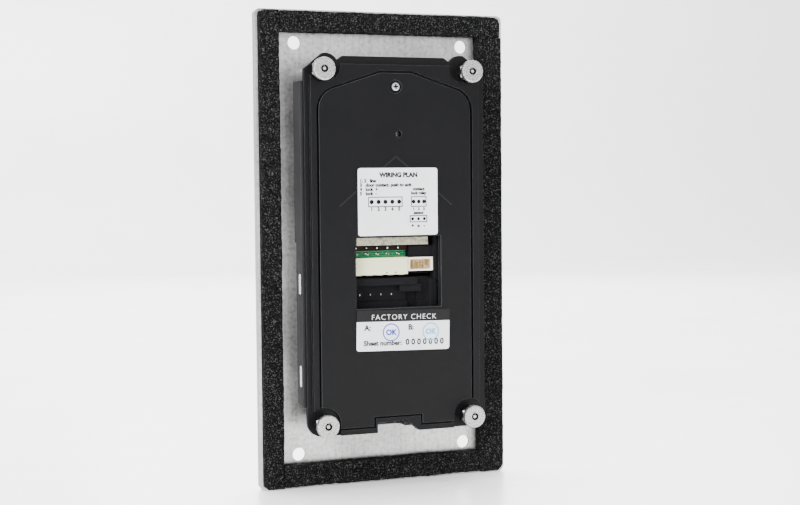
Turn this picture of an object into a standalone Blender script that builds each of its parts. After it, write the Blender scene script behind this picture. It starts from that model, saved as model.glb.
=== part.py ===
"""Door intercom panel: a stainless tray plate, its foam gasket and the black module behind it.

Frame: +Z is up, the street side faces -Y and the wall side faces +Y.  The origin is the
centre of the foam gasket's rear face, which is the plane of the wall.  Every size below is
in millimetres; MM turns it into Blender's metres.
"""
import math

import bmesh
import bpy
from mathutils import Matrix, Vector

MM = 0.001
GAP = 0.3                      # clearance kept between two pieces that touch

# Tray plate
PLATE_W = 120.0
PLATE_H = 215.0
SHEET = 1.2
RIM_DEPTH = 4.8                # outside depth of the folded rim
PLATE_CORNER = 2.4
GASKET_T = 5.0                 # foam thickness, measured from the plate's inner face
PLATE_IN = -GASKET_T           # y of the plate's inner face
PLATE_OUT = PLATE_IN - SHEET
WALL_HOLE = (40.7, 93.0)       # half spacing of the wall screw holes
WALL_HOLE_R = 3.0

# Foam strips: outer edges touch the rim, inner edges frame the module
FOAM_OUT_X = PLATE_W / 2 - SHEET - GAP
FOAM_OUT_Z = PLATE_H / 2 - SHEET - GAP
FOAM_IN_RIGHT = 48.9           # the strip on the +X side
FOAM_IN_LEFT = -46.9
FOAM_IN_TOP = 97.4
FOAM_IN_BOTTOM = -96.8

# Module: depths along y
SHELL_FRONT = PLATE_IN + GAP
SHELL_STEP = 1.0               # the narrow front part ends here
SHELL_REAR = 11.1
LID_FRONT = SHELL_REAR + GAP
RECESS_FLOOR = 12.6            # what the rear cover lies on
BORDER = 13.4                  # level of the border and the ears
PLATEAU = 15.4                 # level of the raised rear face
FRONT_WALL = 1.5

# Module: outlines
BODY_X = 43.4
NECK_X = 41.0
BODY_TOP = 75.0
BODY_BOTTOM = -69.4
TONGUE_X = 27.0                # the body narrows between the studs
TONGUE_TOP = 84.0
TONGUE_BOTTOM = -80.5
WALL_T = 2.0
LID_X = (42.3, 43.6)           # half widths towards +X and -X
LID_TOP = 86.1
LID_BOTTOM = -82.3
EAR = (32.2, 81.2)
EAR_R = 6.1
PLATEAU_X = (39.9, 40.3)
PLATEAU_TOP = 82.4
COVER_X = 36.2
COVER_TOP = 78.7
COVER_TOP_HALF = 7.5
COVER_SHOULDER = 69.3          # where the sloping top edge would meet the side
COVER_ROUND = 9.5
COVER_BOTTOM = -79.2
COVER_GAP = 1.15
SKIRT_X = 33.0                 # thicker middle of the cover, sunk in the shell's recess
SKIRT_Z = (-60.0, 61.0)
WELL_R = 7.8                   # clearance for a nut driver round the lower studs
OPENING = (-21.4, 19.6, -26.4, 5.9)      # terminal opening: x0, x1, z0, z1
CABLE_NOTCH = (-11.8, 11.6, -74.9)       # notch in the cover: x0, x1, top
SHELL_NOTCH = [(9.9, LID_BOTTOM), (9.9, -77.4), (-4.4, -77.4), (-10.0, LID_BOTTOM)]
COVER_SCREW = (0.0, 72.7)
TRIM_HOLE = (-1.3, 51.7)

# Studs and nuts
STUDS = ((35.2, 79.8), (-35.2, 79.8), (35.2, -77.0), (-35.2, -77.0))
STUD_SHOULDER_R = 2.5
STUD_THREAD_R = 1.25
STUD_END = 20.4
NUT_FLATS = 8.0
DISC_R = 5.1
DISC_FRONT = 19.0
DISC_REAR = 21.5

# Front controls
SPEAKER_Z = 14.5
SPEAKER_R = 17.5
SLOT = (28.0, 2.0, 4.0, 5)               # speaker slots: length, height, pitch, count
BUTTON_X = -24.0
BUTTON_ROWS = (-15.0, -56.0)
BUTTON_R = 9.0
BUTTON_FLANGE_R = 10.5
BUTTON_PROUD = 1.5
BUTTON_TRAVEL = 1.2
WINDOW_X = (-8.0, 30.0)                  # name window opening
WINDOW_H = 16.0
WINDOW_LIP = 1.2                         # how far the window reaches behind the plate
TAB_ROWS = ((-19.5, -10.0), (-61.0, -51.0))   # side slots for the light guides
MIC = (0.0, -72.5)

# Camera
CAM_Z = 52.0
CAM_Y = 2.0                              # both camera axes cross here
CAM_WINDOW = (44.0, 32.0)
CAM_SWING = 15.0                         # degrees each way

# Boards
BOARD_Y = (3.8, 5.4)
BOARD_X = 33.0
BOARD_Z = (-66.0, 33.0)


# ---------------------------------------------------------------- modelling helpers

def material(name, colour, rough, metal=0.0, clear=0.0):
    """Return a Principled material, made once."""
    mat = bpy.data.materials.get(name) or bpy.data.materials.new(name)
    mat.use_nodes = True
    shader = mat.node_tree.nodes["Principled BSDF"]
    shader.inputs["Base Color"].default_value = (*colour, 1.0)
    shader.inputs["Roughness"].default_value = rough
    shader.inputs["Metallic"].default_value = metal
    shader.inputs["Transmission Weight"].default_value = clear
    return mat


def finish(name, bm, mat):
    """Turn a bmesh in millimetres into a finished object in metres."""
    bmesh.ops.recalc_face_normals(bm, faces=bm.faces)
    bm.transform(Matrix.Scale(MM, 4))
    mesh = bpy.data.meshes.new(name)
    bm.to_mesh(mesh)
    bm.free()
    mesh.materials.append(mat)
    obj = bpy.data.objects.new(name, mesh)
    bpy.context.scene.collection.objects.link(obj)
    return obj


def arc(centre, radius, start, end, steps):
    """Points on a circle from one angle to another, in degrees."""
    points = []
    for i in range(steps + 1):
        angle = math.radians(start + (end - start) * i / steps)
        points.append((centre[0] + radius * math.cos(angle),
                       centre[1] + radius * math.sin(angle)))
    return points


def rounded(corners, steps=4):
    """Outline through corners (a, b, radius), with an arc at each corner that has a radius."""
    points = []
    for i, (a, b, radius) in enumerate(corners):
        here = Vector((a, b))
        if radius == 0:
            points.append((a, b))
            continue
        back = (Vector(corners[i - 1][:2]) - here).normalized()
        ahead = (Vector(corners[(i + 1) % len(corners)][:2]) - here).normalized()
        half = back.angle(ahead) / 2
        middle = here + (back + ahead).normalized() * (radius / math.sin(half))
        first = here + back * (radius / math.tan(half)) - middle
        last = here + ahead * (radius / math.tan(half)) - middle
        turn = first.angle_signed(last)
        for k in range(steps + 1):
            spoke = first.copy()
            spoke.rotate(Matrix.Rotation(-turn * k / steps, 2))
            points.append(tuple(middle + spoke))
    return points


def rectangle(x0, x1, z0, z1, radius=0.0, steps=4):
    return rounded([(x0, z0, radius), (x1, z0, radius), (x1, z1, radius), (x0, z1, radius)], steps)


def extrude(name, outline, low, high, mat, axis="y"):
    """Closed prism.  An outline is (x, z) for axis y, (x, y) for axis z and (y, z) for axis x."""
    place = {
        "y": lambda a, b, c: (a, c, b),
        "z": lambda a, b, c: (a, b, c),
        "x": lambda a, b, c: (c, a, b),
    }[axis]
    bm = bmesh.new()
    base = [bm.verts.new(place(a, b, low)) for a, b in outline]
    top = [bm.verts.new(place(a, b, high)) for a, b in outline]
    bm.faces.new(base)
    bm.faces.new(reversed(top))
    count = len(outline)
    for i in range(count):
        j = (i + 1) % count
        bm.faces.new((base[j], base[i], top[i], top[j]))
    return finish(name, bm, mat)


def turned(name, centre, profile, mat, sides=20, phase=0.0):
    """Solid of revolution about a line along y.  A profile is a list of (radius, y)."""
    bm = bmesh.new()
    rings = []
    for radius, y in profile:
        if radius == 0:
            rings.append([bm.verts.new((centre[0], y, centre[1]))])
            continue
        points = arc(centre, radius, phase, phase + 360.0 * (sides - 1) / sides, sides - 1)
        rings.append([bm.verts.new((x, y, z)) for x, z in points])
    closed = profile[0][0] != 0
    pairs = list(zip(rings, rings[1:]))
    if closed:
        pairs.append((rings[-1], rings[0]))
    for near, far in pairs:
        for i in range(sides):
            j = (i + 1) % sides
            if len(near) == 1:
                bm.faces.new((near[0], far[i], far[j]))
            elif len(far) == 1:
                bm.faces.new((near[j], near[i], far[0]))
            else:
                bm.faces.new((near[i], near[j], far[j], far[i]))
    obj = finish(name, bm, mat)
    obj.data.shade_smooth()
    obj.data.set_sharp_from_angle(angle=math.radians(35))
    return obj


def disc(name, centre, radius, low, high, mat, sides=20):
    return turned(name, centre, [(0, low), (radius, low), (radius, high), (0, high)], mat, sides)


def ring(name, centre, inner, outer, low, high, mat, sides=20):
    return turned(name, centre, [(inner, low), (outer, low), (outer, high), (inner, high)],
                  mat, sides)


def box(name, x0, x1, y0, y1, z0, z1, mat):
    return extrude(name, [(x0, z0), (x1, z0), (x1, z1), (x0, z1)], y0, y1, mat)


def weld(mesh):
    """Merge the nearly coincident points a cut leaves behind."""
    bm = bmesh.new()
    bm.from_mesh(mesh)
    bmesh.ops.remove_doubles(bm, verts=bm.verts, dist=0.004 * MM)
    bmesh.ops.dissolve_degenerate(bm, edges=bm.edges, dist=0.004 * MM)
    bm.to_mesh(mesh)
    bm.free()


def combine(target, tools, operation):
    """Cut the tools from the target or join them to it, and keep only the target."""
    for tool in tools:
        modifier = target.modifiers.new(operation.lower(), "BOOLEAN")
        modifier.operation = operation
        modifier.object = tool
        modifier.solver = "EXACT"
        graph = bpy.context.evaluated_depsgraph_get()
        mesh = bpy.data.meshes.new_from_object(target.evaluated_get(graph))
        target.modifiers.remove(modifier)
        target.data = mesh
        bpy.data.objects.remove(tool)
        weld(mesh)
    return target


def cut(target, *tools):
    return combine(target, tools, "DIFFERENCE")


def join(target, *tools):
    return combine(target, tools, "UNION")


def mirrored(half):
    """Close a half outline (x > 0, listed from top to bottom) with its mirror image."""
    return half + [(-x, z) for x, z in reversed(half)]


# ---------------------------------------------------------------- materials

def materials():
    return {
        "steel": material("brushed stainless steel", (0.62, 0.62, 0.63), 0.32, 1.0),
        "zinc": material("zinc plated steel", (0.70, 0.70, 0.72), 0.28, 1.0),
        "nickel": material("turned nickel plated brass", (0.72, 0.72, 0.71), 0.35, 1.0),
        "foam": material("black EPDM foam", (0.010, 0.010, 0.011), 0.95),
        "abs": material("black ABS", (0.022, 0.022, 0.023), 0.36),
        "dark": material("black glass filled nylon", (0.016, 0.016, 0.018), 0.5),
        "cream": material("cream nylon", (0.80, 0.76, 0.58), 0.45),
        "board": material("green FR4 board", (0.01, 0.16, 0.08), 0.4),
        "paper": material("white label paper", (0.86, 0.86, 0.86), 0.6),
        "rubber": material("black silicone", (0.02, 0.02, 0.02), 0.75),
        "ferrite": material("grey ferrite", (0.05, 0.05, 0.055), 0.6),
        "clear": material("clear acrylic", (0.85, 0.88, 0.90), 0.1, 0.0, 0.9),
        "tinted": material("smoked acrylic", (0.02, 0.02, 0.025), 0.08, 0.0, 0.6),
        "lens": material("coated glass", (0.05, 0.06, 0.10), 0.03, 0.0, 0.9),
    }


# ---------------------------------------------------------------- plate and gasket

def name_window_outline(row, grow=0.0):
    half = WINDOW_H / 2 + grow
    return rectangle(WINDOW_X[0] - grow, WINDOW_X[1] + grow, row - half, row + half, 1.0, 2)


def camera_outline(grow=0.0):
    half_w = CAM_WINDOW[0] / 2 + grow
    half_h = CAM_WINDOW[1] / 2 + grow
    return rectangle(-half_w, half_w, CAM_Z - half_h, CAM_Z + half_h, 4.0)


def slot_outlines():
    length, height, pitch, count = SLOT
    for i in range(count):
        z = SPEAKER_Z + pitch * (i - (count - 1) / 2)
        yield rectangle(-length / 2, length / 2, z - height / 2, z + height / 2, 0.95, 3)


def front_plate(mats):
    """Folded stainless tray with every opening of the street side."""
    steel = mats["steel"]
    half_w = PLATE_W / 2
    half_h = PLATE_H / 2
    rim_edge = PLATE_OUT + RIM_DEPTH
    plate = extrude("front_plate", rectangle(-half_w, half_w, -half_h, half_h, PLATE_CORNER),
                    PLATE_OUT, rim_edge, steel)
    inner_w = half_w - SHEET
    inner_h = half_h - SHEET
    tools = [extrude("hollow", rectangle(-inner_w, inner_w, -inner_h, inner_h, PLATE_CORNER - SHEET),
                     PLATE_IN, rim_edge + 1, steel)]
    through = (PLATE_OUT - 1, PLATE_IN + 1)
    for x in (-WALL_HOLE[0], WALL_HOLE[0]):
        for z in (-WALL_HOLE[1], WALL_HOLE[1]):
            tools.append(disc("wall hole", (x, z), WALL_HOLE_R, *through, steel, 24))
    tools.append(extrude("camera cut", camera_outline(), *through, steel))
    for outline in slot_outlines():
        tools.append(extrude("slot cut", outline, *through, steel))
    for row in BUTTON_ROWS:
        tools.append(disc("button cut", (BUTTON_X, row), BUTTON_R + GAP, *through, steel, 32))
        tools.append(extrude("window cut", name_window_outline(row), *through, steel))
    tools.append(disc("microphone cut", MIC, 1.1, *through, steel, 12))
    return cut(plate, *tools)


def gaskets(mats):
    """Four separate strips of foam laid inside the rim."""
    trim = 2.0                 # the strips' corners are snipped to follow the rim's
    top = [(-FOAM_OUT_X + trim, FOAM_OUT_Z), (-FOAM_OUT_X, FOAM_OUT_Z - trim),
           (-FOAM_OUT_X, FOAM_IN_TOP), (FOAM_IN_RIGHT - GAP, FOAM_IN_TOP),
           (FOAM_IN_RIGHT - GAP, FOAM_OUT_Z)]
    bottom = [(FOAM_IN_LEFT + GAP, -FOAM_OUT_Z), (FOAM_IN_LEFT + GAP, FOAM_IN_BOTTOM),
              (FOAM_IN_RIGHT - GAP, FOAM_IN_BOTTOM), (FOAM_IN_RIGHT - GAP, -FOAM_OUT_Z)]
    right = [(FOAM_OUT_X - trim, -FOAM_OUT_Z), (FOAM_OUT_X, -FOAM_OUT_Z + trim),
             (FOAM_OUT_X, FOAM_OUT_Z - trim), (FOAM_OUT_X - trim, FOAM_OUT_Z),
             (FOAM_IN_RIGHT, FOAM_OUT_Z), (FOAM_IN_RIGHT, -FOAM_OUT_Z)]
    left = [(FOAM_IN_LEFT, -FOAM_OUT_Z), (FOAM_IN_LEFT, FOAM_IN_TOP - GAP),
            (-FOAM_OUT_X, FOAM_IN_TOP - GAP), (-FOAM_OUT_X, -FOAM_OUT_Z + trim),
            (-FOAM_OUT_X + trim, -FOAM_OUT_Z)]
    for name, outline in (("top", top), ("bottom", bottom), ("right", right), ("left", left)):
        extrude("gasket_" + name, outline, PLATE_IN + GAP, 0.0, mats["foam"])


def studs_and_nuts(mats):
    """A shoulder stud, a hexagon nut on the ear and a round nut at the end, four times."""
    for number, centre in enumerate(STUDS, 1):
        turned(f"plate_stud_{number}", centre,
               [(0, SHELL_FRONT), (STUD_SHOULDER_R, SHELL_FRONT), (STUD_SHOULDER_R, SHELL_REAR),
                (STUD_THREAD_R, SHELL_REAR), (STUD_THREAD_R, STUD_END), (0, STUD_END)],
               mats["zinc"], 16)
        low = BORDER + GAP
        bore = STUD_THREAD_R + GAP
        corner_r = NUT_FLATS / math.sqrt(3)
        nut = turned(f"ear_nut_{number}", centre,
                     [(0, low), (corner_r, low), (corner_r, low + 3.2), (0, low + 3.2)],
                     mats["zinc"], 6, phase=30.0)
        cut(nut, disc("bore", centre, bore, low - 1, low + 4.2, mats["zinc"], 16))
        chamfer = 0.35
        turned(f"round_nut_{number}", centre,
               [(bore, DISC_FRONT), (DISC_R - chamfer, DISC_FRONT),
                (DISC_R, DISC_FRONT + chamfer), (DISC_R, DISC_REAR - chamfer),
                (DISC_R - chamfer, DISC_REAR), (bore, DISC_REAR)], mats["nickel"], 32)


# ---------------------------------------------------------------- module housing

def body_outline(half_width, inset=0.0):
    """Outline of the module's body: a broad middle and a narrower tongue at each end."""
    wide = half_width
    narrow = TONGUE_X - inset
    return mirrored([(narrow, TONGUE_TOP - inset), (narrow, BODY_TOP - inset),
                     (wide, BODY_TOP - inset), (wide, BODY_BOTTOM + inset),
                     (narrow, BODY_BOTTOM + inset), (narrow, TONGUE_BOTTOM + inset)])


def front_shell(mats):
    abs_black = mats["abs"]
    shell = extrude("front_shell", body_outline(BODY_X), SHELL_STEP, SHELL_REAR, abs_black)
    join(shell, extrude("neck", body_outline(NECK_X), SHELL_FRONT, SHELL_STEP + 1, abs_black))
    floor = SHELL_FRONT + FRONT_WALL
    tools = [extrude("hollow", body_outline(NECK_X - WALL_T, WALL_T), floor,
                     SHELL_REAR + 1, abs_black),
             extrude("rear hollow", body_outline(BODY_X - WALL_T, WALL_T), SHELL_STEP + WALL_T,
                     SHELL_REAR + 1, abs_black)]
    through = (SHELL_FRONT - 1, floor + 1)
    tools.append(extrude("camera cut", camera_outline(WINDOW_LIP + GAP), *through, abs_black))
    for outline in slot_outlines():
        tools.append(extrude("slot cut", outline, *through, abs_black))
    for row in BUTTON_ROWS:
        tools.append(disc("button cut", (BUTTON_X, row), BUTTON_FLANGE_R + GAP, *through,
                          abs_black, 32))
        tools.append(extrude("window cut", name_window_outline(row, WINDOW_LIP + GAP), *through,
                             abs_black))
    tools.append(disc("microphone cut", MIC, 1.1, *through, abs_black, 12))
    # long shallow recess in the side wall, and the slots the light guides end in
    tools.append(box("side recess", BODY_X - 1.2, BODY_X + 1, SHELL_STEP - 1, 9.0,
                     BODY_BOTTOM - 1, 3.6, abs_black))
    for low, high in TAB_ROWS:
        tools.append(box("side slot", BODY_X - 4, BODY_X + 1, 4.5, 9.0, low, high, abs_black))
    # way out for the cable at the bottom
    tools.append(box("cable way", -4.8, 9.6, 4.0, SHELL_REAR + 1, TONGUE_BOTTOM - 1,
                     TONGUE_BOTTOM + WALL_T + 1, abs_black))
    return cut(shell, *tools)


def lid_outline():
    """Outline of the rear shell with its two upper ears and the cable notch."""
    sides = []
    for reach in LID_X:
        ear = arc(EAR, EAR_R, 150.0, 75.0, 7)
        corner = arc((reach - 6.2, LID_BOTTOM + 6.2), 6.2, 0.0, -90.0, 5)
        sides.append([(24.3, LID_TOP)] + ear + [(reach, 80.2)] + corner)
    return sides[0] + SHELL_NOTCH + [(-x, z) for x, z in reversed(sides[1])]


def cover_outline(grow=0.0, bottom=COVER_BOTTOM):
    """Rear cover: a flat top, two sloping shoulders and parallel sides."""
    side = COVER_X + grow
    top = COVER_TOP + grow
    shoulder = COVER_SHOULDER + grow * 0.6
    return rounded([(COVER_TOP_HALF, top, 2.0), (side, shoulder, COVER_ROUND + grow),
                    (side, bottom, 0), (-side, bottom, 0),
                    (-side, shoulder, COVER_ROUND + grow), (-COVER_TOP_HALF, top, 2.0)], 8)


def stud_wells(low, high, mat):
    """Space for a nut driver: round at the inner end and open towards the lower edge."""
    wells = []
    for x, z in STUDS[2:]:
        outline = arc((x, z), WELL_R, 0.0, 180.0, 16) + [(x - WELL_R, z - 12), (x + WELL_R, z - 12)]
        wells.append(extrude("well", outline, low, high, mat))
    return wells


def rear_shell(mats):
    abs_black = mats["abs"]
    lid = extrude("rear_shell", lid_outline(), LID_FRONT, BORDER, abs_black)
    for centre in STUDS:
        cut(lid, disc("stud hole", centre, STUD_THREAD_R + GAP, LID_FRONT - 1, BORDER + 1,
                      abs_black, 16))
    outline = ([(PLATEAU_X[0], PLATEAU_TOP), (PLATEAU_X[0], -75.0), (30.0, LID_BOTTOM)] + SHELL_NOTCH
               + [(-30.0, LID_BOTTOM), (-PLATEAU_X[1], -75.0), (-PLATEAU_X[1], PLATEAU_TOP)])
    plateau = extrude("plateau", outline, BORDER - 0.5, PLATEAU, abs_black)
    recess = extrude("cover recess", cover_outline(COVER_GAP, COVER_BOTTOM - 0.8), BORDER - 1,
                     PLATEAU + 1, abs_black)
    x0, x1, top = CABLE_NOTCH
    cut(recess, box("strip round the notch", x0 + 0.8, x1 - 0.8, BORDER - 2, PLATEAU + 2,
                    LID_BOTTOM - 1, top - 0.8, abs_black))
    clear_of_ears = []
    for sign in (-1, 1):
        clear_of_ears.append(disc("ear", (sign * EAR[0], EAR[1]), EAR_R, BORDER - 1, PLATEAU + 1,
                                  abs_black, 40))
        clear_of_ears.append(disc("nut room", (sign * STUDS[0][0], STUDS[0][1]), 5.2, BORDER - 1,
                                  PLATEAU + 1, abs_black, 40))
    cut(plateau, *clear_of_ears, *stud_wells(BORDER - 1, PLATEAU + 1, abs_black), recess)
    boss_end = LID_FRONT - 4.5
    join(lid, plateau, disc("screw boss", COVER_SCREW, 3.4, boss_end, LID_FRONT + 0.5, abs_black))
    x0, x1, z0, z1 = OPENING
    cut(lid,
        extrude("recess", rectangle(-SKIRT_X - GAP, SKIRT_X + GAP, SKIRT_Z[0] - GAP,
                                    SKIRT_Z[1] + GAP), RECESS_FLOOR, BORDER + 1, abs_black),
        box("terminal opening", x0, x1, LID_FRONT - 1, BORDER + 1, z0, z1, abs_black),
        disc("screw hole", COVER_SCREW, 1.3, boss_end - 1, BORDER + 1, abs_black, 16),
        disc("trimmer hole", TRIM_HOLE, 1.7, LID_FRONT - 1, BORDER + 1, abs_black, 16))
    return lid


def rear_cover(mats):
    """Snap-in cover, flush with the raised rear face."""
    abs_black = mats["abs"]
    low = BORDER + GAP
    cover = extrude("rear_cover", cover_outline(), low, PLATEAU, abs_black)
    # a shallow tray below the cover fills the recess
    join(cover, extrude("skirt", rectangle(-SKIRT_X, SKIRT_X, *SKIRT_Z), RECESS_FLOOR + GAP,
                        low + 0.5, abs_black))
    x0, x1, z0, z1 = OPENING
    notch_x0, notch_x1, notch_top = CABLE_NOTCH
    cut(cover,
        *stud_wells(low - 3, PLATEAU + 1, abs_black),
        box("terminal opening", x0, x1, low - 3, PLATEAU + 1, z0, z1, abs_black),
        box("cable notch", notch_x0, notch_x1, low - 3, PLATEAU + 1, COVER_BOTTOM - 1, notch_top,
            abs_black),
        disc("screw recess", COVER_SCREW, 3.0, low + 0.9, PLATEAU + 1, abs_black, 24),
        disc("screw hole", COVER_SCREW, 1.3, low - 3, PLATEAU + 1, abs_black, 16),
        disc("trimmer hole", TRIM_HOLE, 1.4, low - 3, PLATEAU + 1, abs_black, 16))
    head = low + 0.9 + GAP
    screw = turned("cover_screw", COVER_SCREW,
                   [(0, 9.0), (1.0, 9.6), (1.0, head), (1.95, head), (1.75, head + 0.75),
                    (1.1, head + 1.0), (0, head + 1.05)], mats["zinc"], 20)
    slots = []
    for turn in (0, 90):
        blade = box("recess blade", -1.15, 1.15, head + 0.3, head + 2, -0.22, 0.22, mats["zinc"])
        centre = Vector((COVER_SCREW[0], 0, COVER_SCREW[1])) * MM
        blade.matrix_world = Matrix.Translation(centre) @ Matrix.Rotation(math.radians(turn + 20),
                                                                          4, "Y")
        slots.append(blade)
    bpy.context.view_layer.update()
    cut(screw, *slots)


def cable_grommet(mats):
    """Split rubber lip at the top of the cable notch."""
    rubber = mats["rubber"]
    lip = box("cable_grommet", -2.0, 5.8, 8.8, LID_FRONT - GAP, TONGUE_BOTTOM + WALL_T + 1.0,
              -74.6, rubber)
    halves = [disc("half round", (x, -77.2), 1.7, 9.3, LID_FRONT - GAP, rubber, 16)
              for x in (0.3, 4.2)]
    join(lip, *halves)
    return cut(lip, box("slit", 2.1, 2.4, 5.0, 12.0, -80.0, -76.6, rubber))


# ---------------------------------------------------------------- boards and connectors

def electronics(mats):
    dark = mats["dark"]
    low, high = BOARD_Y
    rear = high + GAP
    board = box("main_board", -BOARD_X, BOARD_X, low, high, BOARD_Z[0], BOARD_Z[1], mats["board"])
    cut(board, box("cable slot", -8.0, 8.0, low - 1, high + 1, BOARD_Z[0] - 1, -58.0,
                   mats["board"]))

    # five-way screw terminal: cells open towards the lower edge
    cells = 5
    pitch = 5.08
    block_x0 = -7.0
    block = box("terminal_block", block_x0, block_x0 + cells * pitch, rear, 11.0, -11.5, -3.8,
                mats["cream"])
    openings = []
    for i in range(cells):
        x = block_x0 + pitch * (i + 0.5)
        openings.append(box("cell", x - 1.7, x + 1.7, rear + 0.9, 9.4, -13.0, -7.6, mats["cream"]))
    cut(block, *openings)

    # four-way pin connector: an open box with a floor
    plug = box("sensor_connector", -19.4, -7.3, rear, 10.6, -10.2, -4.0, mats["cream"])
    cut(plug, box("mouth", -18.5, -8.2, rear + 1.2, 11.6, -9.4, -4.9, mats["cream"]))
    pins = [box("pin", x - 0.32, x + 0.32, rear + 0.8, 9.8, -7.4, -6.8, mats["cream"])
            for x in (-17.2, -14.7, -12.2, -9.7)]
    join(plug, *pins)

    box("shield_bar", -16.9, 17.7, 9.4, 11.0, 1.8, 5.4, mats["zinc"])
    strip = box("pin_header", -7.9, 19.0, rear, 7.6, -0.7, 2.6, dark)
    posts = [disc("post", (-3.14 + pitch * i, 0.6), 0.6, 7.4, 8.4, dark, 8) for i in range(5)]
    join(strip, *posts)

    # moulded insert below the connectors, which guides the wires down to the cable notch
    tray = box("cable_tray", -22.4, 20.4, rear, 7.0, -29.0, -13.0, dark)
    ramp = extrude("ramp", [(-21.6, 6.5), (-17.4, 6.5), (-18.4, 9.8), (-21.6, 9.8)], -28.0, -14.0,
                   dark, axis="z")
    join(tray,
         box("side wall", -22.4, -19.9, rear, 10.6, -14.0, 8.6, dark),
         box("top beam", -21.0, 20.4, rear, 9.0, 5.8, 8.6, dark),
         box("hood", -21.0, -8.3, rear, 9.2, -3.7, 1.4, dark),
         box("sill", -22.0, 20.0, 6.5, 8.8, -29.0, -23.8, dark),
         box("ledge", -12.0, 19.2, 6.5, 10.4, -16.4, -13.0, dark),
         box("stop", -14.0, -3.4, 6.5, 9.6, -19.6, -16.0, dark),
         ramp)
    cut(tray, box("latch slot", -12.4, -7.4, 6.1, 9.5, -27.6, -20.0, dark))


def labels(mats):
    """Two paper labels on the rear cover; the lower one is stuck on a little askew."""
    low = PLATEAU + GAP
    thick = 0.15
    extrude("wiring_label", rectangle(-19.7, 18.5, 6.3, 36.5, 1.2), low, low + thick,
            mats["paper"])
    tilt = math.radians(1.1)
    outline = []
    for x, z in rectangle(-22.4, 22.4, -9.1, 9.1, 1.2):
        outline.append((-2.7 + x * math.cos(tilt) - z * math.sin(tilt),
                        -36.4 + x * math.sin(tilt) + z * math.cos(tilt)))
    extrude("inspection_label", outline, low, low + thick, mats["paper"])


# ---------------------------------------------------------------- sound

def sound(mats):
    centre = (0.0, SPEAKER_Z)
    front = SHELL_FRONT + FRONT_WALL + GAP
    turned("speaker_basket", centre,
           [(SPEAKER_R - 3.0, front), (SPEAKER_R, front), (SPEAKER_R, front + 1.4),
            (9.6, front + 3.4), (9.6, front + 2.2), (SPEAKER_R - 3.0, front + 0.9)],
           mats["zinc"], 32)
    turned("speaker_cone", centre,
           [(0, front + 0.5), (4.0, front + 0.9), (SPEAKER_R - 3.6, front + 0.1),
            (SPEAKER_R - 3.6, front + 0.4), (4.0, front + 1.6), (0, front + 1.2)],
           mats["paper"], 32)
    disc("speaker_magnet", centre, 9.0, front + 2.4, BOARD_Y[0] - GAP, mats["ferrite"], 28)
    ring("microphone_boot", MIC, 3.3, 4.6, front, front + 3.4, mats["rubber"], 20)
    disc("microphone", MIC, 3.0, front + 0.5, front + 3.2, mats["zinc"], 20)


# ---------------------------------------------------------------- camera

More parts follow.
